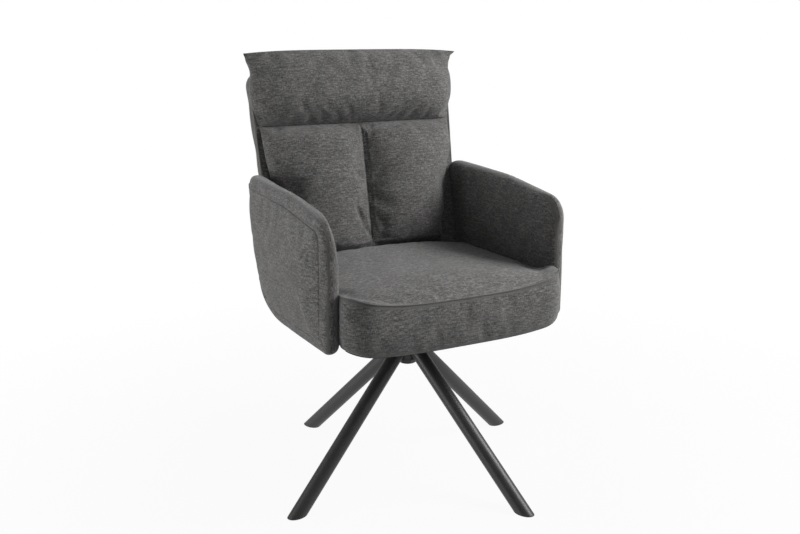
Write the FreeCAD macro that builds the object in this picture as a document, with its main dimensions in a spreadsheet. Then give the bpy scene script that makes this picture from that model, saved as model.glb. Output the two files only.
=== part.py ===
"""Upholstered swivel dining chair on four round steel legs.

Lengths are in millimetres, +Z is up and the chair faces -Y. The origin lies on the floor, on the swivel
axis, which is also the middle of the four feet.
"""
import FreeCAD, Part
import math
import os
import Sketcher
from FreeCAD import Placement, Rotation, Vector

# Driving dimensions: name, value, meaning
SIZES = [
    # Base
    ("leg_diameter", 34, "outside of each leg tube"),
    ("leg_wall", 2, "wall of each leg tube"),
    ("foot_radius", 344, "from the swivel axis to the middle of a foot"),
    ("leg_apex_height", 322, "height at which the legs' axes meet"),
    ("base_turn", -27, "turn of the base against the seat, in degrees"),
    ("leg_spread", 0.4, "gap that the hub keeps between neighbouring legs, to each side"),
    ("glide_flange", 3, "thickness of the glide under the leg's end"),
    ("glide_plug", 14, "how far the glide's plug reaches up into the leg"),
    ("plug_clearance", 0.2, "gap between plug and tube"),
    ("hub_bottom_height", 274, "underside of the hub tube above the floor"),
    ("hub_length", 77, "length of the hub tube"),
    ("hub_wall", 5, "wall of the hub tube"),
    ("bush_flange", 1.5, "thickness of a bush's flange"),
    ("bush_length", 20, "how far a bush reaches into the hub"),
    ("bush_inset", 1, "from the hub's outside to a bush's flange"),
    ("thrust_washer_thickness", 2, "washer that carries the seat's weight"),
    ("thrust_washer_gap", 0.5, "radial gap between that washer and the spindle"),
    ("cutting_room", 100, "how far the blocks that level the legs reach past the feet"),
    # Spindle
    ("spindle_diameter", 28, "shaft in the bushes"),
    ("spindle_neck", 24, "threaded end under the shoulder"),
    ("running_clearance", 0.05, "radial gap between shaft and bush"),
    ("end_float", 0.3, "gap under the hub that lets the spindle turn"),
    ("spindle_washer_thickness", 2, "washer under the hub"),
    ("spindle_washer_diameter", 46, "outside of that washer"),
    ("nut_flats", 36, "across the flats of the spindle nut"),
    ("nut_height", 10, "height of the spindle nut"),
    ("nut_turn", 22.4, "turn of the nut's corners, in degrees"),
    ("nut_chamfer", 30, "slope of the nut's chamfers, in degrees"),
    ("spindle_tip", 2, "how far the spindle reaches below its nut"),
    ("spindle_chamfer", 1.5, "chamfer of the spindle's lower end"),
    # Swivel plate and its fasteners
    ("plate_width", 180, "side of the square swivel plate"),
    ("plate_thickness", 5, "thickness of the swivel plate"),
    ("plate_corner", 18, "corner radius of the swivel plate"),
    ("collar_height", 15.5, "collar under the swivel plate"),
    ("collar_wall", 9, "wall of that collar"),
    ("bolt_spacing", 140, "between the plate's bolts, along both sides"),
    ("bolt_diameter", 8, "plate bolt"),
    ("bolt_head_flats", 13, "across the flats of a plate bolt's head"),
    ("bolt_head_height", 5.3, "height of a plate bolt's head"),
    ("bolt_hole_clearance", 0.5, "added to the bolt for its hole"),
    ("bolt_washer_diameter", 18, "outside of the washer under a bolt's head"),
    ("bolt_washer_thickness", 1.6, "thickness of that washer"),
    ("tee_nut_flange", 22, "outside of a tee nut's flange"),
    ("tee_nut_flange_thickness", 1.5, "thickness of that flange"),
    ("tee_nut_barrel", 11, "outside of a tee nut's barrel"),
    ("tee_nut_depth", 10, "how far the barrel reaches into the board"),
    ("thread_gap", 0.1, "gap between bolt and tee nut"),
    # Boards and brackets
    ("board_thickness", 15, "seat board"),
    ("board_width", 440, "seat board, from side to side"),
    ("board_front", 215, "front edge of the seat board ahead of the swivel axis"),
    ("board_back", 145, "rear edge of the seat board behind the swivel axis"),
    ("board_corner", 40, "corner radius of the seat board"),
    ("panel_board_thickness", 12, "arm boards and back board"),
    ("bracket_thickness", 4, "steel of the brackets"),
    ("bracket_width", 40, "width of the brackets"),
    ("bracket_reach", 100, "how far a bracket reaches under the seat board"),
    ("bracket_rise", 90, "how far a bracket reaches up an arm board or the back board"),
    ("back_bracket_offset", 130, "from the middle of the chair to a back bracket's middle"),
    ("screw_diameter", 5, "shank of a bracket screw"),
    ("screw_length", 11, "length of a bracket screw past its bracket"),
    ("screw_head", 10, "head of a bracket screw"),
    ("screw_head_height", 2.4, "height of that head"),
    ("screw_spacing", 22, "between the two screws of a bracket's leg"),
    ("screw_inset", 18, "from a bracket's end to its screws"),
    ("dust_cover_thickness", 1, "cloth under the seat"),
    ("dust_cover_gap", 5, "from the swivel plate to the cloth's opening"),
    ("dust_cover_lap", 18, "how far the cloth laps over the cushion's rim"),
    # Seat cushion; heights are above the seat board's underside
    ("between_arms", 511, "clear width between the arms"),
    ("upholstery_gap", 0.5, "between neighbouring upholstered pieces"),
    ("seat_rim", 7, "how far the cushion reaches below the seat board"),
    ("seat_front", 250, "front face of the cushion ahead of the swivel axis"),
    ("seat_corner", 50, "radius of the cushion's front corners, seen from above"),
    ("seat_swell", 6, "how far the cushion swells past the arms' inner faces, ahead of the arms"),
    ("seat_foot_lift", 12, "how far the front's lower corners lie above the rim"),
    ("seat_front_height", 98, "top edge of the front face"),
    ("seat_side_height", 109, "top of the cushion along the arms"),
    ("seat_crown_front", 3, "rise of the seat's middle over its sides, at the front face"),
    ("seat_crown", 24, "rise of the seat's middle over its sides"),
    ("seat_side_bulge", 3, "bulge of the cushions' sides"),
    ("seat_foam_height", 62, "foam block on the seat board"),
    ("foam_inset", 22, "from the seat board's edges to the foam block"),
    # Back; lengths are along and across the leaning back, from the seat board's underside
    ("back_foot", 169, "front of the back shell behind the swivel axis, at the seat board's underside"),
    ("back_recline", 11.5, "lean of the back, in degrees"),
    ("shell_height", 556, "length of the back shell"),
    ("shell_thickness", 40, "thickness of the back shell"),
    ("shell_half_bottom", 245, "half of the back shell's width at its foot"),
    ("shell_half_top", 262, "half of the back shell's width at its top"),
    ("shell_corner", 34, "radius of the shell's top corners"),
    ("shell_edge", 12, "radius of the shell's rear edges"),
    ("shell_tuck_height", 75, "height over which the shell's rear tucks in at its foot"),
    ("shell_tuck_depth", 12, "how far the shell's rear tucks in"),
    ("back_board_inset", 26, "from the shell's outline to the back board"),
    ("back_board_depth", 14, "from the shell's front to the back board"),
    ("cushion_foot", 141, "lower end of the back cushion"),
    ("cushion_seam", 424, "sewn valley under the headrest"),
    ("cushion_top", 590, "upper edge of the headrest"),
    ("cushion_half_foot", 190, "half of the cushion's width at its lower end"),
    ("cushion_half_arm", 218, "half of its width between the arms"),
    ("cushion_half_lumbar", 246, "half of its width just above the arms"),
    ("cushion_half_seam", 253, "half of its width at the seam"),
    ("cushion_half_head", 264, "half of its width across the headrest"),
    ("cushion_half_ears", 275, "half of its width at the headrest's pointed corners"),
    ("lumbar_belly", 62, "how far the lower channels stand out from the shell"),
    ("lumbar_valley", 32, "depth of the cushion at the upright seam"),
    ("seam_valley", 29, "depth of the cushion at the seam under the headrest"),
    ("cushion_side", 24, "depth of the cushion along its sides"),
    ("headrest_belly", 62, "how far the headrest stands out from the shell"),
    ("headrest_edge", 22, "how far the headrest's upper edge stands out from the shell"),
    ("head_foam_depth", 24, "thickness of the foam blocks in the back cushion"),
    ("head_foam_inset", 24, "from a channel's edges to its foam block"),
    ("head_foam_back", 4, "cover behind the foam blocks in the back cushion"),
    # Arms; heights are above the seat board's underside
    ("arm_thickness", 40, "rolled edge of an arm"),
    ("arm_edge_radius", 17, "rounding of that roll"),
    ("arm_front", 196, "front edge of the arms ahead of the swivel axis"),
    ("arm_foot", 1, "underside of the arms"),
    ("arm_front_height", 273, "top of the arms at their front"),
    ("arm_middle_height", 301, "top of the arms beside the swivel axis"),
    ("arm_back_height", 315, "top of the arms at their rear"),
    ("arm_foot_radius", 34, "rounding of an arm's lower front corner"),
    ("arm_top_radius", 50, "rounding of an arm's top corners"),
    ("arm_bend_radius", 500, "gentle bend of an arm's top"),
    ("arm_sweep_radius", 200, "sweep from an arm's underside up to its rear edge"),
    ("arm_rear_radius", 95, "rounding of an arm's outer rear edge, seen from above"),
    ("arm_bulge", 12, "how far the outer panel stands out from the roll"),
    ("arm_crease", 22, "from the arm's outline to the outer panel"),
    ("arm_bulge_run", 46, "width of the outer panel's rounded border"),
    ("arm_board_inset", 24, "from the arm's outline to the arm board"),
    ("arm_board_depth", 16, "from the arm's inner face to the arm board"),
]

doc = FreeCAD.newDocument("swivel_dining_chair")
sheet = doc.addObject("Spreadsheet::Sheet", "Sizes")
for row, (alias, number, meaning) in enumerate(SIZES, start=1):
    sheet.set(f"A{row}", meaning)
    sheet.set(f"B{row}", str(number))
    sheet.setAlias(f"B{row}", alias)
doc.recompute()

# Sizes that follow from the driving ones, as expressions
LEG_TILT = "atan2(Sizes.foot_radius; Sizes.leg_apex_height)"
LEG_LENGTH = "sqrt(Sizes.foot_radius^2 + Sizes.leg_apex_height^2)"
LEVEL_START = "(-Sizes.foot_radius - Sizes.cutting_room)"
LEVEL_SIDE = f"(-2 * {LEVEL_START})"
HUB_RADIUS = "(Sizes.leg_diameter * sqrt(0.5) + Sizes.leg_spread)"
HUB_TOP = "(Sizes.hub_bottom_height + Sizes.hub_length)"
HUB_BORE = f"({HUB_RADIUS} - Sizes.hub_wall)"
BUSH_BORE = "(Sizes.spindle_diameter / 2 + Sizes.running_clearance)"
SHOULDER = "(Sizes.hub_bottom_height - Sizes.bush_flange - Sizes.end_float)"
NUT_TOP = f"({SHOULDER} - Sizes.spindle_washer_thickness)"
COLLAR_FOOT = f"({HUB_TOP} + Sizes.bush_flange + Sizes.thrust_washer_thickness)"
PLATE_FOOT = f"({COLLAR_FOOT} + Sizes.collar_height)"
BOARD_FOOT = f"({PLATE_FOOT} + Sizes.plate_thickness)"
BOARD_TOP = f"({BOARD_FOOT} + Sizes.board_thickness)"
BRACKET_FOOT = f"({BOARD_FOOT} - Sizes.bracket_thickness)"
RIM_FOOT = f"({BOARD_FOOT} - Sizes.seat_rim)"
LEAN = "(Sizes.back_recline * 1deg)"
ARM_BOARD_INNER = "(Sizes.between_arms / 2 + Sizes.arm_board_depth)"
LEG_TURNS = {"front_left": 225, "front_right": 315, "back_right": 45, "back_left": 135}
SIDES = {"left": -1, "right": 1}

nodes = []


def value(expression):
    """The number that an expression of the sheet's sizes gives."""
    return float(sheet.evalExpression(expression))


def size(name):
    """One driving dimension."""
    return value(f"Sizes.{name}")


def node(item, name):
    """Name a sub-part and list it for export."""
    item.Label = name
    nodes.append(item)
    return item


def place(item, x="0", y="0", z="0", turn="rotation(vector(0; 0; 1); 0)"):
    """Put an object at a point, and turn it there."""
    item.setExpression(
        "Placement", f"placement(vector({x}; {y}; {z}); {turn})")
    return item


def primitive(kind, name, sizes, **where):
    """A Part primitive with its sizes bound to the sheet."""
    item = doc.addObject(f"Part::{kind}", name)
    for key, expression in sizes.items():
        item.setExpression(key, expression)
    return place(item, **where)


def cylinder(name, radius, height, **where):
    """An upright cylinder on the swivel axis, unless it is placed elsewhere."""
    return primitive("Cylinder", name, {"Radius": radius, "Height": height}, **where)


def box(name, length, width, height, x, y, z, turn="rotation(vector(0; 0; 1); 0)"):
    """A block with its lowest corner at x, y and z."""
    sizes = {"Length": length, "Width": width, "Height": height}
    return primitive("Box", name, sizes, x=x, y=y, z=z, turn=turn)


def hexagon(name, flats, height, **where):
    """A hexagonal prism, sized across its flats."""
    item = primitive("Prism", name, {"Circumradius": f"{flats} / sqrt(3)", "Height": height}, **where)
    item.Polygon = 6
    return item


def cut(name, base, tool):
    """What is left of one object after another is taken away."""
    item = doc.addObject("Part::Cut", name)
    item.Base = base
    item.Tool = tool
    return item


def joined(kind, name, items):
    """A fusion, a common volume or a group of several objects."""
    item = doc.addObject(f"Part::{kind}", name)
    if kind == "Compound":
        item.Links = items
    else:
        item.Shapes = items
    return item


def plane_of(body, role):
    """One of a body's own origin planes."""
    return next(plane for plane in body.Origin.OriginFeatures if plane.Role == role)


def polygon_sketch(body, name, role, corners):
    """A closed polygon whose corners are bound to expressions."""
    sketch = body.newObject("Sketcher::SketchObject", name)
    sketch.AttachmentSupport = [(plane_of(body, role), "")]
    sketch.MapMode = "FlatFace"
    points = [Vector(value(across), value(up), 0) for across, up in corners]
    for start, end in zip(points, points[1:] + points[:1]):
        sketch.addGeometry(Part.LineSegment(start, end))
    for index, (across, up) in enumerate(corners):
        previous = (index - 1) % len(corners)
        sketch.addConstraint(Sketcher.Constraint("Coincident", previous, 2, index, 1))
        for kind, expression in (("DistanceX", across), ("DistanceY", up)):
            bound = sketch.addConstraint(Sketcher.Constraint(kind, -1, 1, index, 1, value(expression)))
            sketch.setExpression(f"Constraints[{bound}]", expression)
    return sketch


def circle_sketch(body, name, circles):
    """Circles on the body's XY plane, each given as x, y and radius."""
    sketch = body.newObject("Sketcher::SketchObject", name)
    sketch.AttachmentSupport = [(plane_of(body, "XY_Plane"), "")]
    sketch.MapMode = "FlatFace"
    for across, up, radius in circles:
        centre = Vector(value(across), value(up), 0)
        ring = sketch.addGeometry(Part.Circle(centre, Vector(0, 0, 1), value(radius)))
        for kind, expression in (("DistanceX", across), ("DistanceY", up)):
            bound = sketch.addConstraint(Sketcher.Constraint(kind, -1, 1, ring, 3, value(expression)))
            sketch.setExpression(f"Constraints[{bound}]", expression)
        bound = sketch.addConstraint(Sketcher.Constraint("Radius", ring, value(radius)))
        sketch.setExpression(f"Constraints[{bound}]", radius)
    return sketch


def revolved(name, profile, z):
    """A body turned about the swivel axis from a profile of radius and height."""
    body = doc.addObject("PartDesign::Body", name)
    sketch = polygon_sketch(body, f"{name}_profile", "XZ_Plane", profile)
    turned = body.newObject("PartDesign::Revolution", f"{name}_turned")
    turned.Profile = sketch
    turned.ReferenceAxis = (sketch, ["V_Axis"])
    turned.Angle = 360
    return place(body, z=z)


def padded(body, sketch, length, reverse=False, midplane=False):
    """Pad a sketch into its body."""
    pad = body.newObject("PartDesign::Pad", f"{sketch.Name}_pad")
    pad.Profile = sketch
    pad.setExpression("Length", length)
    pad.Reversed = reverse
    pad.Midplane = midplane
    doc.recompute()
    return pad


def rounded(body, feature, radius, wanted):
    """Fillet the edges of a feature that a test picks out."""
    names = [f"Edge{number}" for number, edge in enumerate(feature.Shape.Edges, start=1) if wanted(edge)]
    fillet = body.newObject("PartDesign::Fillet", f"{feature.Name}_rounded")
    fillet.Base = (feature, names)
    fillet.setExpression("Radius", radius)
    doc.recompute()
    return fillet


def upright(edge):
    """Whether an edge runs along its body's Z axis."""
    run = edge.Vertexes[-1].Point - edge.Vertexes[0].Point
    return abs(run.z) > 0.99 * run.Length > 0


# Base

def leg_and_glide(corner, quarter_turn):
    """One leg tube, coped to the hub and cut level at the floor, and the glide plugged into it."""
    way = {
        "z": "Sizes.leg_apex_height",
        "turn": (f"rotation(vector(0; 0; 1); Sizes.base_turn + {quarter_turn})"
                 f" * rotation(vector(0; 1; 0); 180deg - {LEG_TILT})"),
    }
    reach = f"{LEG_LENGTH} + Sizes.leg_diameter"
    outside = cylinder(f"leg_outside_{corner}", "Sizes.leg_diameter / 2", reach, **way)
    bore = cylinder(f"leg_bore_{corner}", "Sizes.leg_diameter / 2 - Sizes.leg_wall", reach, **way)
    tube = cut(f"leg_tube_{corner}", outside, bore)
    above_glide = box(f"above_glide_{corner}", LEVEL_SIDE, LEVEL_SIDE, "Sizes.leg_apex_height",
                      LEVEL_START, LEVEL_START, "Sizes.glide_flange")
    hub_space = cylinder(f"hub_space_{corner}", HUB_RADIUS, "2 * Sizes.leg_apex_height")
    level = joined("MultiCommon", f"leg_level_{corner}", [tube, above_glide])
    node(cut(f"leg_{corner}_coped", level, hub_space), f"leg_{corner}")

    flange_level = box(f"flange_level_{corner}", LEVEL_SIDE, LEVEL_SIDE, "Sizes.glide_flange",
                       LEVEL_START, LEVEL_START, "0")
    flange = joined("MultiCommon", f"glide_flange_{corner}", [outside, flange_level])
    core = cylinder(f"plug_core_{corner}",
                    "Sizes.leg_diameter / 2 - Sizes.leg_wall - Sizes.plug_clearance", reach, **way)
    plug_level = box(f"plug_level_{corner}", LEVEL_SIDE, LEVEL_SIDE,
                     "Sizes.glide_plug + Sizes.glide_flange", LEVEL_START, LEVEL_START, "0")
    plug = joined("MultiCommon", f"glide_plug_{corner}", [core, plug_level])
    node(joined("MultiFuse", f"glide_{corner}_moulded", [flange, plug]), f"glide_{corner}")


def hub():
    """The hub tube, its two flanged bushes and the thrust washer on top."""
    tube = revolved("hub_body", [
        (HUB_BORE, "0"), (HUB_RADIUS, "0"),
        (HUB_RADIUS, "Sizes.hub_length"), (HUB_BORE, "Sizes.hub_length"),
    ], "Sizes.hub_bottom_height")
    node(tube, "hub_tube")
    rim = f"{HUB_RADIUS} - Sizes.bush_inset"
    bush = [
        (BUSH_BORE, "0"), (rim, "0"), (rim, "Sizes.bush_flange"),
        (HUB_BORE, "Sizes.bush_flange"), (HUB_BORE, "Sizes.bush_flange + Sizes.bush_length"),
        (BUSH_BORE, "Sizes.bush_flange + Sizes.bush_length"),
    ]
    node(revolved("lower_bush_body", bush, "Sizes.hub_bottom_height - Sizes.bush_flange"), "lower_bush")
    over = [(radius, f"-({height})") for radius, height in reversed(bush)]
    node(revolved("upper_bush_body", over, f"{HUB_TOP} + Sizes.bush_flange"), "upper_bush")
    hole = f"{BUSH_BORE} + Sizes.thrust_washer_gap"
    washer = revolved("thrust_washer_body", [
        (hole, "0"), (rim, "0"), (rim, "Sizes.thrust_washer_thickness"),
        (hole, "Sizes.thrust_washer_thickness"),
    ], f"{HUB_TOP} + Sizes.bush_flange")
    node(washer, "thrust_washer")


# Spindle and swivel plate

def spindle():
    """The stepped spindle, with the washer and hexagonal nut that hold it under the hub."""
    tip = f"{NUT_TOP} - Sizes.nut_height - Sizes.spindle_tip"
    chamfer = "Sizes.spindle_chamfer"
    shaft = revolved("spindle_body", [
        ("0", "0"), (f"Sizes.spindle_neck / 2 - {chamfer}", "0"), ("Sizes.spindle_neck / 2", chamfer),
        ("Sizes.spindle_neck / 2", f"{SHOULDER} - ({tip})"),
        ("Sizes.spindle_diameter / 2", f"{SHOULDER} - ({tip})"),
        ("Sizes.spindle_diameter / 2", f"{BOARD_FOOT} - ({tip})"), ("0", f"{BOARD_FOOT} - ({tip})"),
    ], tip)
    node(shaft, "spindle")
    washer = revolved("spindle_washer_body", [
        ("Sizes.spindle_neck / 2", "0"), ("Sizes.spindle_washer_diameter / 2", "0"),
        ("Sizes.spindle_washer_diameter / 2", "Sizes.spindle_washer_thickness"),
        ("Sizes.spindle_neck / 2", "Sizes.spindle_washer_thickness"),
    ], NUT_TOP)
    node(washer, "spindle_washer")
    node(nut("spindle_nut_blank", "Sizes.nut_flats", "Sizes.nut_height", "Sizes.spindle_neck / 2",
             f"{NUT_TOP} - Sizes.nut_height"), "spindle_nut")


def nut(name, flats, height, bore, z):
    """A hexagonal nut with the corners of both faces chamfered to round arcs."""
    turn = "rotation(vector(0; 0; 1); Sizes.nut_turn)"
    prism = hexagon(f"{name}_hexagon", flats, height, z=z, turn=turn)
    rise = f"{height} / tan(Sizes.nut_chamfer * 1deg)"
    lower = primitive("Cone", f"{name}_lower_chamfer", {
        "Radius1": f"{flats} / 2", "Radius2": f"{flats} / 2 + {rise}", "Height": height}, z=z)
    upper = primitive("Cone", f"{name}_upper_chamfer", {
        "Radius1": f"{flats} / 2 + {rise}", "Radius2": f"{flats} / 2", "Height": height}, z=z)
    blank = joined("MultiCommon", name, [prism, lower, upper])
    hole = cylinder(f"{name}_hole", bore, height, z=z)
    return cut(f"{name}_tapped", blank, hole)


def bolt_places():
    """The middles of the plate's four bolts."""
    half = "Sizes.bolt_spacing / 2"
    return [(f"{x} * {half}", f"{y} * {half}") for x in (-1, 1) for y in (-1, 1)]


def swivel_plate():
    """The square plate, with rounded corners, a collar for the spindle and four bolt holes."""
    body = doc.addObject("PartDesign::Body", "swivel_plate_body")
    half = "Sizes.plate_width / 2"
    square = [(f"-{half}", f"-{half}"), (half, f"-{half}"), (half, half), (f"-{half}", half)]
    sheet_metal = padded(body, polygon_sketch(body, "plate_outline", "XY_Plane", square),
                         "Sizes.plate_thickness")
    rounded(body, sheet_metal, "Sizes.plate_corner", upright)
    collar = circle_sketch(body, "plate_collar", [
        ("0", "0", "Sizes.spindle_diameter / 2 + Sizes.collar_wall")])
    padded(body, collar, "Sizes.collar_height", reverse=True)
    solid = body.Shape.Volume
    drilled = drill(body, "plate_holes", [
        (x, y, "(Sizes.bolt_diameter + Sizes.bolt_hole_clearance) / 2") for x, y in bolt_places()
    ] + [("0", "0", "Sizes.spindle_diameter / 2")])
    if not body.Shape.Volume < solid:
        raise ValueError(f"{drilled.Name} cut nothing")
    node(place(body, z=PLATE_FOOT), "swivel_plate")


def drill(body, name, circles):
    """Round holes right through a body, both ways from its XY plane."""
    pocket = body.newObject("PartDesign::Pocket", f"{name}_pocket")
    pocket.Profile = circle_sketch(body, name, circles)
    pocket.Type = "ThroughAll"
    pocket.Midplane = True
    doc.recompute()
    return pocket


def plate_fasteners():
    """Bolts, washers and tee nuts between the swivel plate and the seat board."""
    bolts = []
    washers = []
    tee_nuts = []
    head_top = f"{PLATE_FOOT} - Sizes.bolt_washer_thickness"
    for number, (x, y) in enumerate(bolt_places()):
        head = hexagon(f"bolt_head_{number}", "Sizes.bolt_head_flats", "Sizes.bolt_head_height",
                       x=x, y=y, z=f"{head_top} - Sizes.bolt_head_height")
        shank = cylinder(f"bolt_shank_{number}", "Sizes.bolt_diameter / 2",
                         f"{BOARD_TOP} - ({head_top})", x=x, y=y, z=head_top)
        bolts.append(joined("MultiFuse", f"bolt_{number}", [head, shank]))
        ring = cylinder(f"bolt_washer_ring_{number}", "Sizes.bolt_washer_diameter / 2",
                        "Sizes.bolt_washer_thickness", x=x, y=y, z=head_top)
        hole = cylinder(f"bolt_washer_hole_{number}", "Sizes.bolt_diameter / 2 + Sizes.thread_gap",
                        "Sizes.bolt_washer_thickness", x=x, y=y, z=head_top)
        washers.append(cut(f"bolt_washer_{number}", ring, hole))
        flange = cylinder(f"tee_nut_flange_{number}", "Sizes.tee_nut_flange / 2",
                          "Sizes.tee_nut_flange_thickness", x=x, y=y, z=BOARD_TOP)
        barrel = cylinder(f"tee_nut_barrel_{number}", "Sizes.tee_nut_barrel / 2", "Sizes.tee_nut_depth",
                          x=x, y=y, z=f"{BOARD_TOP} - Sizes.tee_nut_depth")
        thread = cylinder(f"tee_nut_thread_{number}", "Sizes.bolt_diameter / 2 + Sizes.thread_gap",
                          "Sizes.tee_nut_depth + Sizes.tee_nut_flange_thickness",
                          x=x, y=y, z=f"{BOARD_TOP} - Sizes.tee_nut_depth")
        blank = joined("MultiFuse", f"tee_nut_blank_{number}", [flange, barrel])
        tee_nuts.append(cut(f"tee_nut_{number}", blank, thread))
    node(joined("Compound", "plate_bolts_group", bolts), "plate_bolts")
    node(joined("Compound", "plate_washers_group", washers), "plate_washers")
    return node(joined("Compound", "tee_nuts_group", tee_nuts), "tee_nuts")


# Boards, brackets and screws

def bracket_profile(side_view):
    """An angle's cross-section, from under the seat board up the board beside it."""
    start, outer_foot, outer_top, thickness_across = side_view
    thickness = "Sizes.bracket_thickness"
    rise = "Sizes.bracket_rise"
    inner_foot = f"({outer_foot}) + ({outer_top} - ({outer_foot})) * {thickness} / {rise}"
    return [
        (start, "0"), (outer_foot, "0"), (outer_top, rise), (f"{outer_top} - {thickness_across}", rise),
        (f"{inner_foot} - {thickness_across}", thickness), (start, thickness),
    ]


def arm_bracket(name, side):
    """The steel angle that holds an arm board to the seat board."""
    body = doc.addObject("PartDesign::Body", f"{name}_body")
    outline = bracket_profile((
        f"{ARM_BOARD_INNER} - Sizes.bracket_reach", ARM_BOARD_INNER, ARM_BOARD_INNER,
        "Sizes.bracket_thickness"))
    padded(body, polygon_sketch(body, f"{name}_outline", "XZ_Plane", outline),
           "Sizes.bracket_width", midplane=True)
    turn = f"rotation(vector(0; 0; 1); {0 if side > 0 else 180})"
    return place(body, z=BRACKET_FOOT, turn=turn)


def back_bracket(name, side):
    """The bent steel angle that holds the back board to the seat board."""
    body = doc.addObject("PartDesign::Body", f"{name}_body")
    foot = (f"Sizes.back_foot + Sizes.back_board_depth / cos({LEAN})"
            f" - Sizes.bracket_thickness * tan({LEAN})")
    outline = bracket_profile((
        "Sizes.board_back - Sizes.bracket_reach", foot, f"{foot} + Sizes.bracket_rise * tan({LEAN})",
        f"Sizes.bracket_thickness / cos({LEAN})"))
    padded(body, polygon_sketch(body, f"{name}_outline", "YZ_Plane", outline),
           "Sizes.bracket_width", midplane=True)
    return place(body, x=f"{side} * Sizes.back_bracket_offset", z=BRACKET_FOOT)


def screw(name, x, y, z, turn):
    """One bracket screw: its head on the near face of the steel, its shank through it into the wood."""
    length = "Sizes.bracket_thickness + Sizes.screw_length"
    head = cylinder(f"{name}_head", "Sizes.screw_head / 2", "Sizes.screw_head_height",
                    x=x, y=y, z=z, turn=f"{turn} * rotation(vector(1; 0; 0); 180)")
    shank = cylinder(f"{name}_shank", "Sizes.screw_diameter / 2", length, x=x, y=y, z=z, turn=turn)
    return joined("MultiFuse", name, [head, shank])


def bracket_screws():
    """Two screws through each leg of the four brackets."""
    screws = []
    up = "rotation(vector(0; 0; 1); 0)"
    for side_name, side in SIDES.items():
        for way in (-1, 1):
            along = f"{way} * Sizes.screw_spacing / 2"
            tag = f"{side_name}_{'front' if way < 0 else 'back'}"
            screws.append(screw(
                f"arm_screw_up_{tag}",
                f"{side} * ({ARM_BOARD_INNER} - Sizes.bracket_reach + Sizes.screw_inset)", along,
                BRACKET_FOOT, up))
            screws.append(screw(
                f"arm_screw_across_{tag}", f"{side} * ({ARM_BOARD_INNER} - Sizes.bracket_thickness)",
                along, f"{BRACKET_FOOT} + Sizes.bracket_rise - Sizes.screw_inset",
                f"rotation(vector(0; 1; 0); {side * 90})"))
            across = f"{side} * Sizes.back_bracket_offset + {along}"
            screws.append(screw(
                f"back_screw_up_{tag}", across, "Sizes.board_back - Sizes.bracket_reach + Sizes.screw_inset",
                BRACKET_FOOT, up))
            height = "(Sizes.bracket_rise - Sizes.screw_inset)"
            depth = "(Sizes.back_board_depth - Sizes.bracket_thickness)"
            screws.append(screw(
                f"back_screw_across_{tag}", across,
                f"Sizes.back_foot + {depth} / cos({LEAN})"
                f" + ({height} - Sizes.bracket_thickness) * tan({LEAN})",
                f"{BRACKET_FOOT} + {height}",
                f"rotation(vector(1; 0; 0); -90 - Sizes.back_recline)"))
    return node(joined("Compound", "bracket_screws_group", screws), "bracket_screws")


def seat_board(fasteners):
    """The plywood board under the seat, drilled for its tee nuts, bolts and screws."""
    body = doc.addObject("PartDesign::Body", "seat_board_body")
    half = "Sizes.board_width / 2"
    outline = [(f"-{half}", "-Sizes.board_front"), (half, "-Sizes.board_front"),
               (half, "Sizes.board_back"), (f"-{half}", "Sizes.board_back")]
    plank = padded(body, polygon_sketch(body, "board_outline", "XY_Plane", outline),
                   "Sizes.board_thickness")
    rounded(body, plank, "Sizes.board_corner", upright)
    drill(body, "board_holes", [
        (x, y, "(Sizes.bolt_diameter + Sizes.bolt_hole_clearance) / 2") for x, y in bolt_places()])
    place(body, z=BOARD_FOOT)
    drilled = body
    for tool in fasteners:
        drilled = cut(f"seat_board_for_{tool.Label}", drilled, tool)
    return node(drilled, "seat_board")


def back_board(screws):
    """The plywood board inside the back shell, narrower at its foot."""
    body = doc.addObject("PartDesign::Body", "back_board_body")
    inset = "Sizes.back_board_inset"
    outline = [(f"-(Sizes.shell_half_bottom - {inset})", inset),
               (f"Sizes.shell_half_bottom - {inset}", inset),
               (f"Sizes.shell_half_top - {inset}", f"Sizes.shell_height - {inset}"),
               (f"-(Sizes.shell_half_top - {inset})", f"Sizes.shell_height - {inset}")]
    padded(body, polygon_sketch(body, "back_board_outline", "XZ_Plane", outline),
           "Sizes.panel_board_thickness", reverse=True)
    place(body, y=f"Sizes.back_foot + Sizes.back_board_depth * cos({LEAN})",
          z=f"{BOARD_FOOT} - Sizes.back_board_depth * sin({LEAN})",
          turn="rotation(vector(1; 0; 0); -Sizes.back_recline)")
    return node(cut("back_board_drilled", body, screws), "back_board")


def dust_cover():
    """The cloth under the seat, open round the swivel plate."""
    body = doc.addObject("PartDesign::Body", "dust_cover_body")
    lap = "Sizes.dust_cover_lap"
    half = f"(Sizes.board_width / 2 + {lap})"
    outline = [(f"-{half}", f"-Sizes.board_front - {lap}"), (half, f"-Sizes.board_front - {lap}"),
               (half, f"Sizes.board_back + {lap}"), (f"-{half}", f"Sizes.board_back + {lap}")]
    cloth = padded(body, polygon_sketch(body, "dust_cover_outline", "XY_Plane", outline),
                   "Sizes.dust_cover_thickness", reverse=True)
    rounded(body, cloth, "Sizes.board_corner", upright)
    opening = "(Sizes.plate_width / 2 + Sizes.dust_cover_gap)"
    pocket = body.newObject("PartDesign::Pocket", "dust_cover_opening")
    pocket.Profile = polygon_sketch(body, "dust_cover_hole", "XY_Plane", [
        (f"-{opening}", f"-{opening}"), (opening, f"-{opening}"), (opening, opening),
        (f"-{opening}", opening)])
    pocket.Type = "ThroughAll"
    pocket.Midplane = True
    node(place(body, z=RIM_FOOT), "dust_cover")


# Upholstery; these shapes are lofts through lines and arcs

def arc(start, middle, end):
    """An arc through three points."""
    return Part.Arc(start, middle, end).toShape()


def line(start, end):
    """A straight edge."""
    return Part.LineSegment(start, end).toShape()


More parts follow.
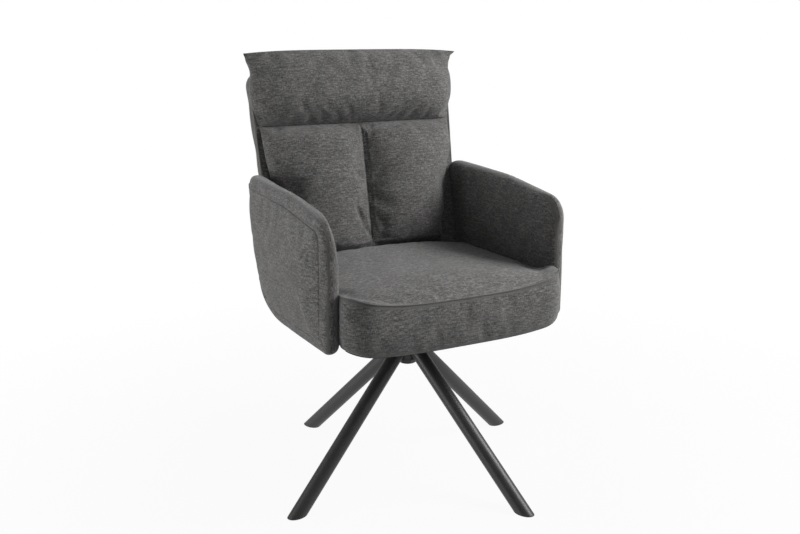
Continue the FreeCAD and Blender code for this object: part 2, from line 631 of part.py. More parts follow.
def soft(name, shape):
    """An upholstered sub-part."""
    item = doc.addObject("Part::Feature", f"{name}_shape")
    item.Shape = shape
    return node(item, name)


def seat_section(y, half_width, lift, side_top, crown, lean=0.0):
    """One cross-section of the seat cushion: lifted lower corners, bulged sides and a crowned top."""
    bulge = size("seat_side_bulge")
    datum = value(BOARD_FOOT)

    def point(x, height):
        return Vector(x, y + lean * height, datum + height)

    inner = half_width - bulge
    rim = -size("seat_rim")
    foot = rim + lift
    middle = (foot + side_top) / 2
    return Part.Wire([
        arc(point(-inner, foot), point(0, rim), point(inner, foot)),
        arc(point(inner, foot), point(half_width, middle), point(inner, side_top)),
        arc(point(inner, side_top), point(0, side_top + crown), point(-inner, side_top)),
        arc(point(-inner, side_top), point(-half_width, middle), point(-inner, foot)),
    ])


def seat_cushion(foam, board, brackets, screws):
    """The boxed seat cushion: rounded front corners, a crowned top, and recessed for the board below."""
    half = size("between_arms") / 2 - size("upholstery_gap")
    front = -size("seat_front")
    corner = size("seat_corner")
    lift = size("seat_foot_lift")
    front_height = size("seat_front_height")
    side_height = size("seat_side_height")
    crown = size("seat_crown")
    crown_front = size("seat_crown_front")
    swollen = half + size("seat_swell")
    rounded_front = []
    for step in range(5):
        turn = math.radians(22.5 * step)
        share = step / 4
        rounded_front.append(seat_section(
            front + corner * (1 - math.cos(turn)), swollen - corner * (1 - math.sin(turn)),
            lift * (2 + share) / 3, front_height + (side_height - front_height) * share,
            crown_front + (crown * 0.6 - crown_front) * share))
    lean = math.tan(math.radians(size("back_recline")))
    rear = size("back_foot") - size("upholstery_gap")
    behind = front + corner
    body = [
        seat_section(behind + 8, half, lift, side_height, crown * 0.65),
        seat_section(behind + 110, half, lift / 2, side_height, crown * 0.85),
        seat_section(rear - 110, half, lift / 4, side_height, crown, lean * 0.5),
        seat_section(rear, half, lift / 8, side_height - 4, crown, lean),
    ]
    shape = Part.makeLoft(rounded_front, True, False)
    shape = shape.fuse([Part.makeLoft([rounded_front[-1], body[0]], True, True),
                        Part.makeLoft(body, True, True)])
    recess = board.Shape.copy()
    recess.translate(Vector(0, 0, -size("seat_rim")))
    hardware = [item.Shape for item in brackets + [screws]]
    shape = shape.cut([board.Shape, recess, foam.Shape] + hardware)
    return soft("seat_cushion", largest(shape))


def largest(shape):
    """The largest solid of a shape."""
    return max(shape.Solids, key=lambda solid: solid.Volume)


def leaning(x, depth, length):
    """A point of the back: across, behind the shell's front, and up along it."""
    angle = math.radians(size("back_recline"))
    return Vector(x, size("back_foot") + depth * math.cos(angle) + length * math.sin(angle),
                  value(BOARD_FOOT) - depth * math.sin(angle) + length * math.cos(angle))


def back_section(length, half_width, back, side, belly, valley):
    """One cross-section of the back cushion: flat behind, two bellies in front and a valley between them."""
    half_side = (half_width - size("seat_side_bulge"))
    quarter = half_side / 2

    def point(x, depth):
        return leaning(x, -depth, length)

    return Part.Wire([
        line(point(-half_side, back), point(half_side, back)),
        arc(point(half_side, back), point(half_width, (back + side) / 2), point(half_side, side)),
        arc(point(half_side, side), point(quarter, belly), point(0, valley)),
        arc(point(0, valley), point(-quarter, belly), point(-half_side, side)),
        arc(point(-half_side, side), point(-half_width, (back + side) / 2), point(-half_side, back)),
    ])


def back_cushion(foams):
    """The back cushion: two puffed lower channels, a sewn valley and the headrest with pointed corners."""
    foot = size("cushion_foot")
    seam = size("cushion_seam")
    top = size("cushion_top")
    shell = size("shell_height")
    gap = size("upholstery_gap")
    side = size("cushion_side")
    belly = size("lumbar_belly")
    valley = size("lumbar_valley")
    seam_valley = size("seam_valley")
    head = size("headrest_belly")
    edge = size("headrest_edge")
    half_arm = size("cushion_half_arm")
    half_lumbar = size("cushion_half_lumbar")
    half_seam = size("cushion_half_seam")
    half_head = size("cushion_half_head")
    at_seam = back_section(seam, half_seam, gap, 8, seam_valley - 3, seam_valley)
    span = seam - foot
    lower = Part.makeLoft([
        back_section(foot, size("cushion_half_foot"), gap + 6, side * 0.8, side + 14, side + 2),
        back_section(foot + span * 0.17, half_arm - 10, gap, side, belly - 6, valley),
        back_section(foot + span * 0.4, half_arm, gap, side + 2, belly, valley),
        back_section(foot + span * 0.62, half_lumbar - 6, gap, side + 2, belly, valley),
        back_section(foot + span * 0.82, half_lumbar, gap, side, belly - 8, valley - 1),
        back_section(foot + span * 0.95, half_seam - 2, gap, side * 0.7, seam_valley + 12, seam_valley + 1),
        at_seam,
    ], True, False)
    rise = top - seam
    headrest = Part.makeLoft([
        at_seam,
        back_section(seam + rise * 0.09, half_seam + 2, gap, side * 0.8, head - 16, head - 14),
        back_section(seam + rise * 0.35, half_head, gap, side + 4, head - 3, head),
        back_section(seam + rise * 0.62, half_head, gap, side + 4, head - 8, head - 4),
        back_section(shell + 3, half_head + 2, gap + 2, side, head - 26, head - 22),
        back_section(top, size("cushion_half_ears"), edge - 5, edge + 1, edge + 3, edge + 4),
    ], True, False)
    shape = lower.fuse(headrest)
    shape = shape.cut([item.Shape for item in foams])
    return soft("back_cushion", largest(shape))


def corner_arcs(corners, radii):
    """The corners of an outline as straight runs' ends and arcs' middles, in order."""
    found = []
    count = len(corners)
    for index in range(count):
        here = corners[index]
        to_last = (corners[index - 1] - here).normalize()
        to_next = (corners[(index + 1) % count] - here).normalize()
        half_angle = to_last.getAngle(to_next) / 2
        reach = radii[index] / math.tan(half_angle)
        bisector = (to_last + to_next).normalize()
        centre = here + bisector * (radii[index] / math.sin(half_angle))
        found.append((here + to_last * reach, centre - bisector * radii[index], here + to_next * reach))
    return found


def rounded_outline(corners, radii):
    """A closed outline of straight runs and tangent arcs."""
    arcs = corner_arcs(corners, radii)
    edges = []
    for index, (start, middle, end) in enumerate(arcs):
        edges.append(arc(start, middle, end))
        edges.append(line(end, arcs[(index + 1) % len(arcs)][0]))
    return Part.Wire(edges)


def inset_corners(corners, inset):
    """The corners of an outline drawn in by the same distance all round."""
    count = len(corners)
    found = []
    for index in range(count):
        here = corners[index]
        to_last = (corners[index - 1] - here).normalize()
        to_next = (corners[(index + 1) % count] - here).normalize()
        half_angle = to_last.getAngle(to_next) / 2
        found.append(here + (to_last + to_next).normalize() * (inset / math.sin(half_angle)))
    return found


def arm_outline(x, inset):
    """An arm's outline seen from the side, drawn in by an inset, in the plane at x."""
    datum = value(BOARD_FOOT)
    lean = math.tan(math.radians(size("back_recline")))
    rear = leaning(0, size("shell_thickness"), 0)

    def behind(height):
        return rear.y + (datum + height - rear.z) * lean

    foot = size("arm_foot")
    side_view = [
        (-size("arm_front"), foot),
        (-size("arm_front"), size("arm_front_height")),
        (0, size("arm_middle_height")),
        (behind(size("arm_back_height")), size("arm_back_height")),
        (behind(foot), foot),
    ]
    corners = [Vector(x, y, datum + height) for y, height in side_view]
    radii = [size("arm_foot_radius"), size("arm_top_radius"), size("arm_bend_radius"),
             size("arm_top_radius"), size("arm_sweep_radius")]
    least = size("arm_edge_radius")
    return rounded_outline(inset_corners(corners, inset), [max(radius - inset, least) for radius in radii])


def rear_wrap(side):
    """Leaning prism that rounds off an arm's outer rear edge."""
    inner = size("between_arms") / 2
    outer = inner + size("arm_thickness") + size("arm_bulge")
    low = leaning(0, size("shell_thickness"), -size("arm_sweep_radius"))
    reach = 4 * size("arm_sweep_radius")
    room = 3 * size("arm_front")
    corners = [Vector(side * (inner - reach), low.y, low.z), Vector(side * outer, low.y, low.z),
               Vector(side * outer, low.y - room, low.z), Vector(side * (inner - reach), low.y - room, low.z)]
    radius = size("arm_rear_radius")
    plan = rounded_outline(corners, [1, radius, 1, 1])
    up = leaning(0, size("shell_thickness"), reach) - low
    return Part.Face(plan).extrude(up)


def slab(x, inset, thickness):
    """An arm's outline given a thickness, outwards from the plane at x."""
    return Part.Face(arm_outline(x, inset)).extrude(Vector(thickness, 0, 0))


def arm(side_name, side, bracket, screws, shell):
    """An arm: its board, the rolled inner pad round it and the bulging outer panel."""
    inner = size("between_arms") / 2
    hardware = [bracket.Shape, screws.Shape]
    wrap = rear_wrap(side)
    board = slab(side * (inner + size("arm_board_depth")), size("arm_board_inset"),
                 side * size("panel_board_thickness"))
    board = board.common(wrap)
    soft(f"arm_board_{side_name}", largest(board.cut(hardware)))

    pad = slab(side * inner, 0, side * size("arm_thickness"))
    rims = [edge for edge in pad.Edges if edge.BoundBox.XLength < 0.001]
    pad = pad.makeFillet(size("arm_edge_radius"), rims).common(wrap)
    pad = pad.cut([board, shell] + hardware)
    soft(f"arm_pad_{side_name}", largest(pad))

    outer = inner + size("arm_thickness")
    bulge = size("arm_bulge")
    crease = size("arm_crease")
    run = size("arm_bulge_run")
    panel = Part.makeLoft([
        arm_outline(side * outer, crease),
        arm_outline(side * (outer + bulge * 0.7), crease + run * 0.3),
        arm_outline(side * (outer + bulge), crease + run),
    ], True, False)
    soft(f"arm_panel_{side_name}", largest(panel.common(wrap)))


def shell_body():
    """The back shell's outer form: narrower at its foot, tucked in below, with rounded corners and edges."""
    body = doc.addObject("PartDesign::Body", "back_shell_body")
    outline = [("-Sizes.shell_half_bottom", "0"), ("Sizes.shell_half_bottom", "0"),
               ("Sizes.shell_half_top", "Sizes.shell_height"),
               ("-Sizes.shell_half_top", "Sizes.shell_height")]
    slab_pad = padded(body, polygon_sketch(body, "shell_outline", "XZ_Plane", outline),
                      "Sizes.shell_thickness", reverse=True)
    full = slab_pad.Shape.Volume
    tuck = [("Sizes.shell_thickness - Sizes.shell_tuck_depth", "-1"), ("Sizes.shell_thickness + 1", "-1"),
            ("Sizes.shell_thickness + 1", "Sizes.shell_tuck_height"),
            ("Sizes.shell_thickness", "Sizes.shell_tuck_height")]
    pocket = body.newObject("PartDesign::Pocket", "shell_tuck")
    pocket.Profile = polygon_sketch(body, "shell_tuck_outline", "YZ_Plane", tuck)
    pocket.Type = "ThroughAll"
    pocket.Midplane = True
    doc.recompute()
    if not pocket.Shape.Volume < full:
        raise ValueError("the shell's foot isn't tucked in")
    top = size("shell_height")
    corners = rounded(body, pocket, "Sizes.shell_corner", lambda edge: (
        edge.BoundBox.YLength > 1 and edge.BoundBox.ZMin > top - 0.01 and edge.BoundBox.XLength < 0.01))
    rear = size("shell_thickness")
    rounded(body, corners, "Sizes.shell_edge", lambda edge: (
        edge.BoundBox.YMin > rear - 0.01 and edge.BoundBox.ZMax > size("shell_tuck_height") + 1))
    place(body, y="Sizes.back_foot", z=BOARD_FOOT, turn="rotation(vector(1; 0; 0); -Sizes.back_recline)")
    doc.recompute()
    plain = pocket.Shape.copy()
    plain.Placement = Placement(Vector(0, size("back_foot"), value(BOARD_FOOT)),
                                Rotation(Vector(1, 0, 0), -size("back_recline")))
    return body, plain


def back_foams():
    """The foam blocks of the back cushion's three channels."""
    turn = "rotation(vector(1; 0; 0); -Sizes.back_recline)"
    depth = "(Sizes.head_foam_depth + Sizes.head_foam_back)"

    def block(name, length, left, low, high):
        return node(box(
            f"{name}_block", length, "Sizes.head_foam_depth", f"{high} - ({low})", left,
            f"Sizes.back_foot - {depth} * cos({LEAN}) + ({low}) * sin({LEAN})",
            f"{BOARD_FOOT} + {depth} * sin({LEAN}) + ({low}) * cos({LEAN})", turn), name)

    inset = "Sizes.head_foam_inset"
    low = f"Sizes.cushion_foot + 1.5 * {inset}"
    high = f"Sizes.cushion_seam - {inset}"
    width = f"Sizes.cushion_half_arm - 2.5 * {inset}"
    return [
        block("lumbar_foam_left", width, f"-({width}) - {inset} / 2", low, high),
        block("lumbar_foam_right", width, f"{inset} / 2", low, high),
        block("headrest_foam", f"2 * (Sizes.cushion_half_head - 1.7 * {inset})",
              f"-(Sizes.cushion_half_head - 1.7 * {inset})", f"Sizes.cushion_seam + {inset}",
              f"Sizes.shell_height - {inset} / 2"),
    ]


def seat_foam(tee_nuts):
    """The foam block on the seat board, dented by the tee nuts' flanges."""
    inset = "Sizes.foam_inset"
    block = box("seat_foam_block", f"Sizes.board_width - 2 * {inset}",
                f"Sizes.board_front + Sizes.board_back - 2 * {inset}", "Sizes.seat_foam_height",
                f"-(Sizes.board_width / 2 - {inset})", f"-(Sizes.board_front - {inset})", BOARD_TOP)
    return node(cut("seat_foam_dented", block, tee_nuts), "seat_foam")


def check_and_write():
    """Stop on a failed object or an invalid shape, then write each sub-part."""
    doc.recompute()
    for item in doc.Objects:
        if "Invalid" in item.State or "Error" in item.State:
            raise ValueError(f"{item.Label} failed")
    os.makedirs("parts", exist_ok=True)
    for item in nodes:
        if item.Shape.isNull() or not item.Shape.isValid() or not item.Shape.Solids:
            raise ValueError(f"{item.Label} has no valid shape")
        item.Shape.exportStep(f"parts/{item.Label}.step")
        print(f"{item.Label}: {len(item.Shape.Solids)} solid(s), {item.Shape.Volume / 1000:.1f} cm3")


for corner_name, corner_turn in LEG_TURNS.items():
    leg_and_glide(corner_name, corner_turn)
hub()
spindle()
swivel_plate()
all_tee_nuts = plate_fasteners()
arm_brackets = [arm_bracket(f"arm_bracket_{name}", side) for name, side in SIDES.items()]
back_brackets = [back_bracket(f"back_bracket_{name}", side) for name, side in SIDES.items()]
all_screws = bracket_screws()
for kind, brackets in (("arm", arm_brackets), ("back", back_brackets)):
    for side_label, bracket in zip(SIDES, brackets):
        node(cut(f"{kind}_bracket_{side_label}_drilled", bracket, all_screws), f"{kind}_bracket_{side_label}")
doc.recompute()
finished_seat_board = seat_board([all_tee_nuts, all_screws])
back_panel_board = back_board(all_screws)
dust_cover()
foam_block = seat_foam(all_tee_nuts)
back_foam_blocks = back_foams()
shell, plain_shell = shell_body()
doc.recompute()
shell_cavity = joined("MultiFuse", "shell_cavity", [back_panel_board, all_screws] + back_brackets)
node(cut("back_shell_hollowed", shell, shell_cavity), "back_shell")
doc.recompute()
seat_cushion(foam_block, finished_seat_board, arm_brackets + back_brackets, all_screws)
back_cushion(back_foam_blocks)
for (side_label, side_sign), arm_angle in zip(SIDES.items(), arm_brackets):
    arm(side_label, side_sign, arm_angle, all_screws, plain_shell)
check_and_write()
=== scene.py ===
"""The upholstered swivel dining chair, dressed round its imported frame.

Lengths are in metres, +Z is up and the chair faces -Y. The covers are built as closed skins of rings, padded
by a short cloth simulation, and sewn with seams, piping and stitches.
"""

import logging
import math
from dataclasses import dataclass, field
from enum import Enum

import bmesh
import bpy
import numpy as np
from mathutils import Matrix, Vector


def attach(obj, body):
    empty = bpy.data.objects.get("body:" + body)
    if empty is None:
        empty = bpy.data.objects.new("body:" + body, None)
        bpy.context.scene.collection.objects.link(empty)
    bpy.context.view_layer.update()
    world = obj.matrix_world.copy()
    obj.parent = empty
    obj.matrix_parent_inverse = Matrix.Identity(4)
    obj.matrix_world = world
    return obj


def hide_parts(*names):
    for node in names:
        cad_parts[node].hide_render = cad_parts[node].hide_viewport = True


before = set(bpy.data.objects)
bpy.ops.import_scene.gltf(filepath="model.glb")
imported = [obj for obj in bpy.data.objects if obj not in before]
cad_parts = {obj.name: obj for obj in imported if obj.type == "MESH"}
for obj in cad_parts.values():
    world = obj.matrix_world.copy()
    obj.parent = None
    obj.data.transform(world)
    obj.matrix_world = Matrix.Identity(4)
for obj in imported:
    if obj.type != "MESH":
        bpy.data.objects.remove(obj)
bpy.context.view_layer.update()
LOG = logging.getLogger("chair")
SEAT_BODY = "seat"


class Side(Enum):
    """A side of the chair, as the sign of its x."""

    LEFT = -1
    RIGHT = 1


# Shapes

def eased(share: np.ndarray) -> np.ndarray:
    """Ease a share of 0 to 1 in and out.

    Args:
        share: the share, which is clipped to 0 to 1.

    Returns:
        The eased share.
    """
    share = np.clip(share, 0, 1)
    return share * share * (3 - 2 * share)


def through(knots: tuple, values: tuple, at: np.ndarray) -> np.ndarray:
    """Read a smooth curve that passes through given values.

    Args:
        knots: rising positions.
        values: the value at each position.
        at: where the curve is read.

    Returns:
        The curve's values.
    """
    knots = np.asarray(knots, float)
    values = np.asarray(values, float)
    at = np.clip(np.asarray(at, float), knots[0], knots[-1])
    slope = np.gradient(values, knots)
    index = np.clip(np.searchsorted(knots, at) - 1, 0, len(knots) - 2)
    width = knots[index + 1] - knots[index]
    t = (at - knots[index]) / width
    return ((1 + 2 * t) * (1 - t) ** 2 * values[index] + t * (1 - t) ** 2 * width * slope[index]
            + t * t * (3 - 2 * t) * values[index + 1] + t * t * (t - 1) * width * slope[index + 1])


def along(points: np.ndarray) -> np.ndarray:
    """Measure the distance run along each row of points.

    Args:
        points: rows of points, with the columns along the rows.

    Returns:
        The distance from the row's first point to each point.
    """
    steps = np.linalg.norm(np.diff(points, axis=-2), axis=-1)
    start = np.zeros(steps.shape[:-1] + (1,))
    return np.concatenate([start, np.cumsum(steps, axis=-1)], axis=-1)


def closed(points: np.ndarray) -> np.ndarray:
    """Repeat a row's first point at its end."""
    return np.concatenate([points, points[:1]])


def unit(vectors: np.ndarray) -> np.ndarray:
    """Give vectors a length of one."""
    return vectors / np.linalg.norm(vectors, axis=-1, keepdims=True)


def bend(centre: tuple, radius: float, start: float, end: float, steps: int = 24) -> np.ndarray:
    """Draw an arc from one angle in degrees to another."""
    turn = np.radians(np.linspace(start, end, steps))
    return np.stack([centre[0] + radius * np.cos(turn), centre[1] + radius * np.sin(turn)], axis=-1)


# Meshes

def placed(name: str, data: bpy.types.ID) -> bpy.types.Object:
    """Make an object of a mesh, lamp or camera and link it into the scene.

    Args:
        name: the object's name.
        data: its mesh, lamp or camera.

    Returns:
        The object.
    """
    made = bpy.data.objects.new(name, data)
    bpy.context.scene.collection.objects.link(made)
    return made


def positions(mesh: bpy.types.Mesh) -> np.ndarray:
    """Read a mesh's points as an array.

    Args:
        mesh: the mesh.

    Returns:
        The points, as rows of 3.
    """
    points = np.empty(len(mesh.vertices) * 3, np.float32)
    mesh.vertices.foreach_get("co", points)
    return points.reshape(-1, 3).astype(float)


def move_to(piece: bpy.types.Object, points: np.ndarray) -> None:
    """Put a piece's points where an array says."""
    piece.data.vertices.foreach_set("co", points.reshape(-1).astype(np.float32))
    piece.data.update()


def applied(piece: bpy.types.Object, modifier: bpy.types.Modifier) -> None:
    """Keep a modifier's result as the piece's own mesh.

    Args:
        piece: the piece.
        modifier: its only modifier.
    """
    graph = bpy.context.evaluated_depsgraph_get()
    old = piece.data
    made = bpy.data.meshes.new_from_object(piece.evaluated_get(graph))
    piece.modifiers.remove(modifier)
    piece.data = made
    made.name = piece.name
    bpy.data.meshes.remove(old)


def smoothed(piece: bpy.types.Object) -> None:
    """Subdivide a finished cover once and keep the result as its mesh.

    Args:
        piece: the cover.
    """
    split = piece.modifiers.new("smooth", "SUBSURF")
    split.levels = split.render_levels = 1
    applied(piece, split)
    for face in piece.data.polygons:
        face.use_smooth = True


@dataclass
class Skin:
    """A closed skin of rings of points, with its own UV map in metres and a hold on its sewn points.

    Args:
        name: the piece's name.
        rings: points as rings by columns by 3, each ring closed on itself.
        flat: UV points as rings by columns plus one by 2; without them the skin is unrolled.
        held: how firmly each point is held while the cover is stuffed, as rings by columns.
    """

    name: str
    rings: list = field(default_factory=list)
    flat: list = field(default_factory=list)
    held: list = field(default_factory=list)

    def add(self, ring: np.ndarray, hold: float | np.ndarray = 0.0, uv: np.ndarray | None = None) -> None:
        """Add a ring.

        Args:
            ring: its points.
            hold: how firmly its points are held.
            uv: its UV points, with or without one more beyond the seam.
        """
        self.rings.append(ring)
        self.held.append(np.broadcast_to(hold, len(ring)))
        if uv is not None:
            self.flat.append(uv if len(uv) > len(ring) else closed(uv))

    def unrolled(self) -> np.ndarray:
        """Lay the skin flat by the distances run along and across it.

        Returns:
            UV points as rings by columns plus one by 2, in metres.
        """
        rings = np.array(self.rings)
        looped = np.concatenate([rings, rings[:, :1]], axis=1)
        across = along(looped)
        across = across - across[:, -1:] / 2
        lengths = along(np.swapaxes(looped, 0, 1)).T
        return np.stack([across, np.broadcast_to(lengths.mean(axis=1)[:, None], across.shape)], axis=-1)

    def build(self) -> bpy.types.Object:
        """Make the mesh object.

        Returns:
            The object, with its doubles merged and its faces pointing outwards.
        """
        rings, hold = np.array(self.rings), np.array(self.held)
        count, columns, _ = rings.shape
        flat = np.array(self.flat) if len(self.flat) else self.unrolled()
        corners = np.arange(count * columns).reshape(count, columns)
        turned = np.roll(corners, -1, axis=1)
        faces = np.stack([corners[:-1], turned[:-1], turned[1:], corners[1:]], axis=-1).reshape(-1, 4)
        mesh = bpy.data.meshes.new(self.name)
        mesh.from_pydata(rings.reshape(-1, 3).tolist(), [], faces.tolist())
        spread = np.stack([flat[:-1, :-1], flat[:-1, 1:], flat[1:, 1:], flat[1:, :-1]], axis=2)
        mesh.uv_layers.new(name="cloth").data.foreach_set("uv", spread.reshape(-1).astype(np.float32))
        mesh.attributes.new("hold", "FLOAT", "POINT").data.foreach_set(
            "value", hold.reshape(-1).astype(np.float32))
        work = bmesh.new()
        work.from_mesh(mesh)
        bmesh.ops.remove_doubles(work, verts=work.verts, dist=2e-5)
        bmesh.ops.dissolve_degenerate(work, dist=1e-6, edges=work.edges)
        bmesh.ops.recalc_face_normals(work, faces=work.faces)
        if work.calc_volume(signed=True) < 0:
            bmesh.ops.reverse_faces(work, faces=work.faces)
        LOG.info("%s: %.2f litres, %d open edges", self.name, work.calc_volume(signed=True) * 1000,
                 sum(not edge.is_manifold for edge in work.edges))
        for face in work.faces:
            face.smooth = True
        work.to_mesh(mesh)
        work.free()
        return placed(self.name, mesh)


@dataclass(frozen=True)
class Stuffing:
    """A short cloth simulation that fills a cover from inside.

    Args:
        pressure: how hard the stuffing presses.
        slack: how much larger the cloth is cut than its skin, as a share.
        cap: how far a point may move.
        frames: length of the simulation.
    """

    pressure: float
    slack: float
    cap: float
    frames: int = 20

    def fill(self, piece: bpy.types.Object) -> None:
        """Fill a cover; the points that its hold attribute names stay sewn down.

        Args:
            piece: the cover, which keeps its mesh and gets the stuffed shape.
        """
        start = positions(piece.data)
        hold = np.empty(len(start), np.float32)
        piece.data.attributes["hold"].data.foreach_get("value", hold)
        group = piece.vertex_groups.new(name="sewn")
        for index in np.flatnonzero(hold > 0.01):
            group.add([int(index)], float(hold[index]), "REPLACE")
        cloth = piece.modifiers.new("stuffing", "CLOTH")
        wanted = {"quality": 3, "mass": 0.3, "vertex_group_mass": group.name, "use_pressure": True,
                  "uniform_pressure_force": self.pressure, "shrink_min": -self.slack,
                  "shrink_max": -self.slack, "bending_stiffness": 0.6}
        for name, value in wanted.items():
            setattr(cloth.settings, name, value)
        cloth.settings.effector_weights.gravity = 0
        cloth.collision_settings.use_collision = False
        cloth.point_cache.frame_start = 1
        cloth.point_cache.frame_end = self.frames
        for number in range(1, self.frames + 1):
            bpy.context.scene.frame_set(number)
        graph = bpy.context.evaluated_depsgraph_get()
        stuffed = bpy.data.meshes.new_from_object(piece.evaluated_get(graph))
        step = positions(stuffed) - start
        bpy.data.meshes.remove(stuffed)
        piece.modifiers.remove(cloth)
        piece.vertex_groups.clear()
        bpy.context.scene.frame_set(1)
        length = np.linalg.norm(step, axis=1, keepdims=True)
        LOG.info("%s: stuffing moves it by %.1f mm", piece.name, 1000 * length.mean())
        reach = self.cap * np.tanh(length / self.cap)
        move_to(piece, start + step * reach / np.maximum(length, 1e-9))

    def cover(self, skin: Skin) -> bpy.types.Object:
        """Build a skin, fill it and smooth it.

        Args:
            skin: the cover's skin.

        Returns:
            The finished cover.
        """
        made = skin.build()
        self.fill(made)
        smoothed(made)
        return made


# Finishes

@dataclass
class Nodes:
    """A node tree while it is written.

    Args:
        tree: the tree.
        prefix: what the names of its node types start with.
    """

    tree: bpy.types.NodeTree
    prefix: str

    def add(self, kind: str, values: dict | None = None, **settings: object) -> bpy.types.Node:
        """Add a node.

        Args:
            kind: the node's type after the prefix, or a whole name.
            values: constants or links for its inputs, by name or number.
            settings: other properties of the node.

        Returns:
            The node.
        """
        node = self.tree.nodes.new(kind if "Node" in kind else self.prefix + kind)
        for key, value in settings.items():
            setattr(node, key, value)
        for key, value in (values or {}).items():
            if isinstance(value, bpy.types.NodeSocket):
                self.tree.links.new(value, node.inputs[key])
            else:
                node.inputs[key].default_value = value
        return node

    def math(self, operation: str, first: object, second: object = 0.0) -> bpy.types.NodeSocket:
        """Add a sum, product or other operation on two numbers."""
        return self.add("ShaderNodeMath", {0: first, 1: second}, operation=operation).outputs[0]


class Shading(Nodes):
    """The shader nodes of a material or a world."""

    def __init__(self, owner: bpy.types.Material | bpy.types.World) -> None:
        """Start an empty tree on its owner.

        Args:
            owner: the material or world that the nodes are for.
        """
        owner.use_nodes = True
        owner.node_tree.nodes.clear()
        super().__init__(owner.node_tree, "ShaderNode")
        self.owner = owner

    def place(self, output: str = "Object") -> bpy.types.NodeSocket:
        """Add texture coordinates."""
        return self.add("TexCoord").outputs[output]

    def noise(self, vector: bpy.types.NodeSocket, scale: float | tuple, detail: float = 2.0,
              offset: tuple = (0, 0, 0)) -> bpy.types.NodeSocket:
        """Add a noise that is stretched by one scale or by a scale along each axis.

        Args:
            vector: the link for where the noise is read.
            scale: repeats for each metre.
            detail: how many finer layers it has.
            offset: where the noise starts.

        Returns:
            The link for its value.
        """
        scale = scale if isinstance(scale, tuple) else (scale,) * 3
        mapped = self.add("Mapping", {"Vector": vector, "Scale": scale, "Location": offset})
        return self.add("TexNoise", {"Vector": mapped.outputs[0], "Scale": 1.0, "Detail": detail,
                                     "Roughness": 0.6}).outputs["Fac"]

    def weighted(self, *terms: tuple) -> bpy.types.NodeSocket:
        """Add up links that are each multiplied by a weight.

        Args:
            terms: each a link and its weight.

        Returns:
            The link for the sum.
        """
        products = [self.math("MULTIPLY", link, weight) for link, weight in terms]
        total = products[0]
        for product in products[1:]:
            total = self.math("ADD", total, product)
        return total

    def ranged(self, factor: bpy.types.NodeSocket, low: float, high: float, start: float = 0.0,
               end: float = 1.0) -> bpy.types.NodeSocket:
        """Map a factor that runs from start to end to a range.

        Args:
            factor: the link that is mapped.
            low: what start gives.
            high: what end gives.
            start: the factor's lower end.
            end: the factor's upper end.

        Returns:
            The link for the mapped value.
        """
        return self.add("MapRange", {"Value": factor, "From Min": start, "From Max": end, "To Min": low,
                                     "To Max": high}).outputs[0]

    def ramp(self, factor: bpy.types.NodeSocket, stops: tuple) -> bpy.types.NodeSocket:
        """Add a colour ramp of positions and colours.

        Args:
            factor: the link that picks the colour.
            stops: each a position and a colour.

        Returns:
            The link for the colour.
        """
        node = self.add("ValToRGB", {"Fac": factor})
        band = node.color_ramp
        while len(band.elements) < len(stops):
            band.elements.new(0.5)
        for element, (place, colour) in zip(band.elements, stops):
            element.position = place
            element.color = (*colour, 1)
        return node.outputs[0]

    def surface(self, colour: bpy.types.NodeSocket, roughness: object, relief: tuple,
                more: dict | None = None) -> bpy.types.Material:
        """End the material in one surface.

        Args:
            colour: the link for its colour.
            roughness: a number or a link.
            relief: the bump's link, strength and distance.
            more: further inputs.

        Returns:
            The material.
        """
        height, strength, distance = relief
        bump = self.add("Bump", {"Strength": strength, "Distance": distance, "Height": height})
        shader = self.add("BsdfPrincipled", {
            "Base Color": colour, "Roughness": roughness, "Normal": bump.outputs[0], **(more or {})})
        return self.close(shader.outputs[0])

    def close(self, shader: bpy.types.NodeSocket) -> bpy.types.Material | bpy.types.World:
        """Connect the surface and return the tree's owner.

        Args:
            shader: the link for the surface.

        Returns:
            The finished material or world.
        """
        kind = "OutputWorld" if isinstance(self.owner, bpy.types.World) else "OutputMaterial"
        self.add(kind, {"Surface": shader})
        return self.owner


def scaled(colour: tuple, factor: float) -> tuple:
    """Make a colour lighter or darker."""
    return tuple(min(1.0, channel * factor) for channel in colour)


@dataclass(frozen=True)
class Finish:
    """A finish with a material's name."""

    name: str

    def started(self) -> Shading:
        """Start the finish's material."""
        return Shading(bpy.data.materials.new(self.name))


@dataclass(frozen=True)
class WovenCover(Finish):
    """Coarse melange upholstery cloth: slubby yarns both ways over a plain weave."""

    dark: tuple
    middle: tuple
    light: tuple
    yarn: float = 0.0021

    def material(self) -> bpy.types.Material:
        """Write the cloth's nodes, on the piece's own UV map in metres.

        Returns:
            The material.
        """
        shading = self.started()
        cloth = shading.place("UV")
        weft = shading.noise(cloth, (100, 450, 1), 3.0)
        warp = shading.noise(cloth, (450, 150, 1), 3.0, (3.1, 7.7, 0))
        fine = shading.noise(cloth, (800, 800, 1), 2.0, (9.0, 4.0, 0))
        slubs = shading.noise(cloth, (30, 200, 1), 2.0, (5.0, 2.0, 0))
        patches = shading.noise(cloth, (22, 22, 1), 2.0, (1.0, 8.0, 0))
        mixed = shading.weighted((weft, 0.34), (warp, 0.28), (fine, 0.15), (slubs, 0.15), (patches, 0.08))
        colour = shading.ramp(mixed, ((0.395, self.dark), (0.5, self.middle), (0.62, self.light)))
        split = shading.add("SeparateXYZ", {0: cloth})
        turn = 2 * math.pi / self.yarn
        ribs = [shading.math("SINE", shading.math("MULTIPLY", split.outputs[axis], turn)) for axis in (0, 1)]
        height = shading.weighted((shading.math("MULTIPLY", *ribs), 0.3), (mixed, 2.2))
        return shading.surface(colour, 0.92, (height, 0.35, 0.0006), {
            "Specular IOR Level": 0.25, "Sheen Weight": 0.22, "Sheen Roughness": 0.5})


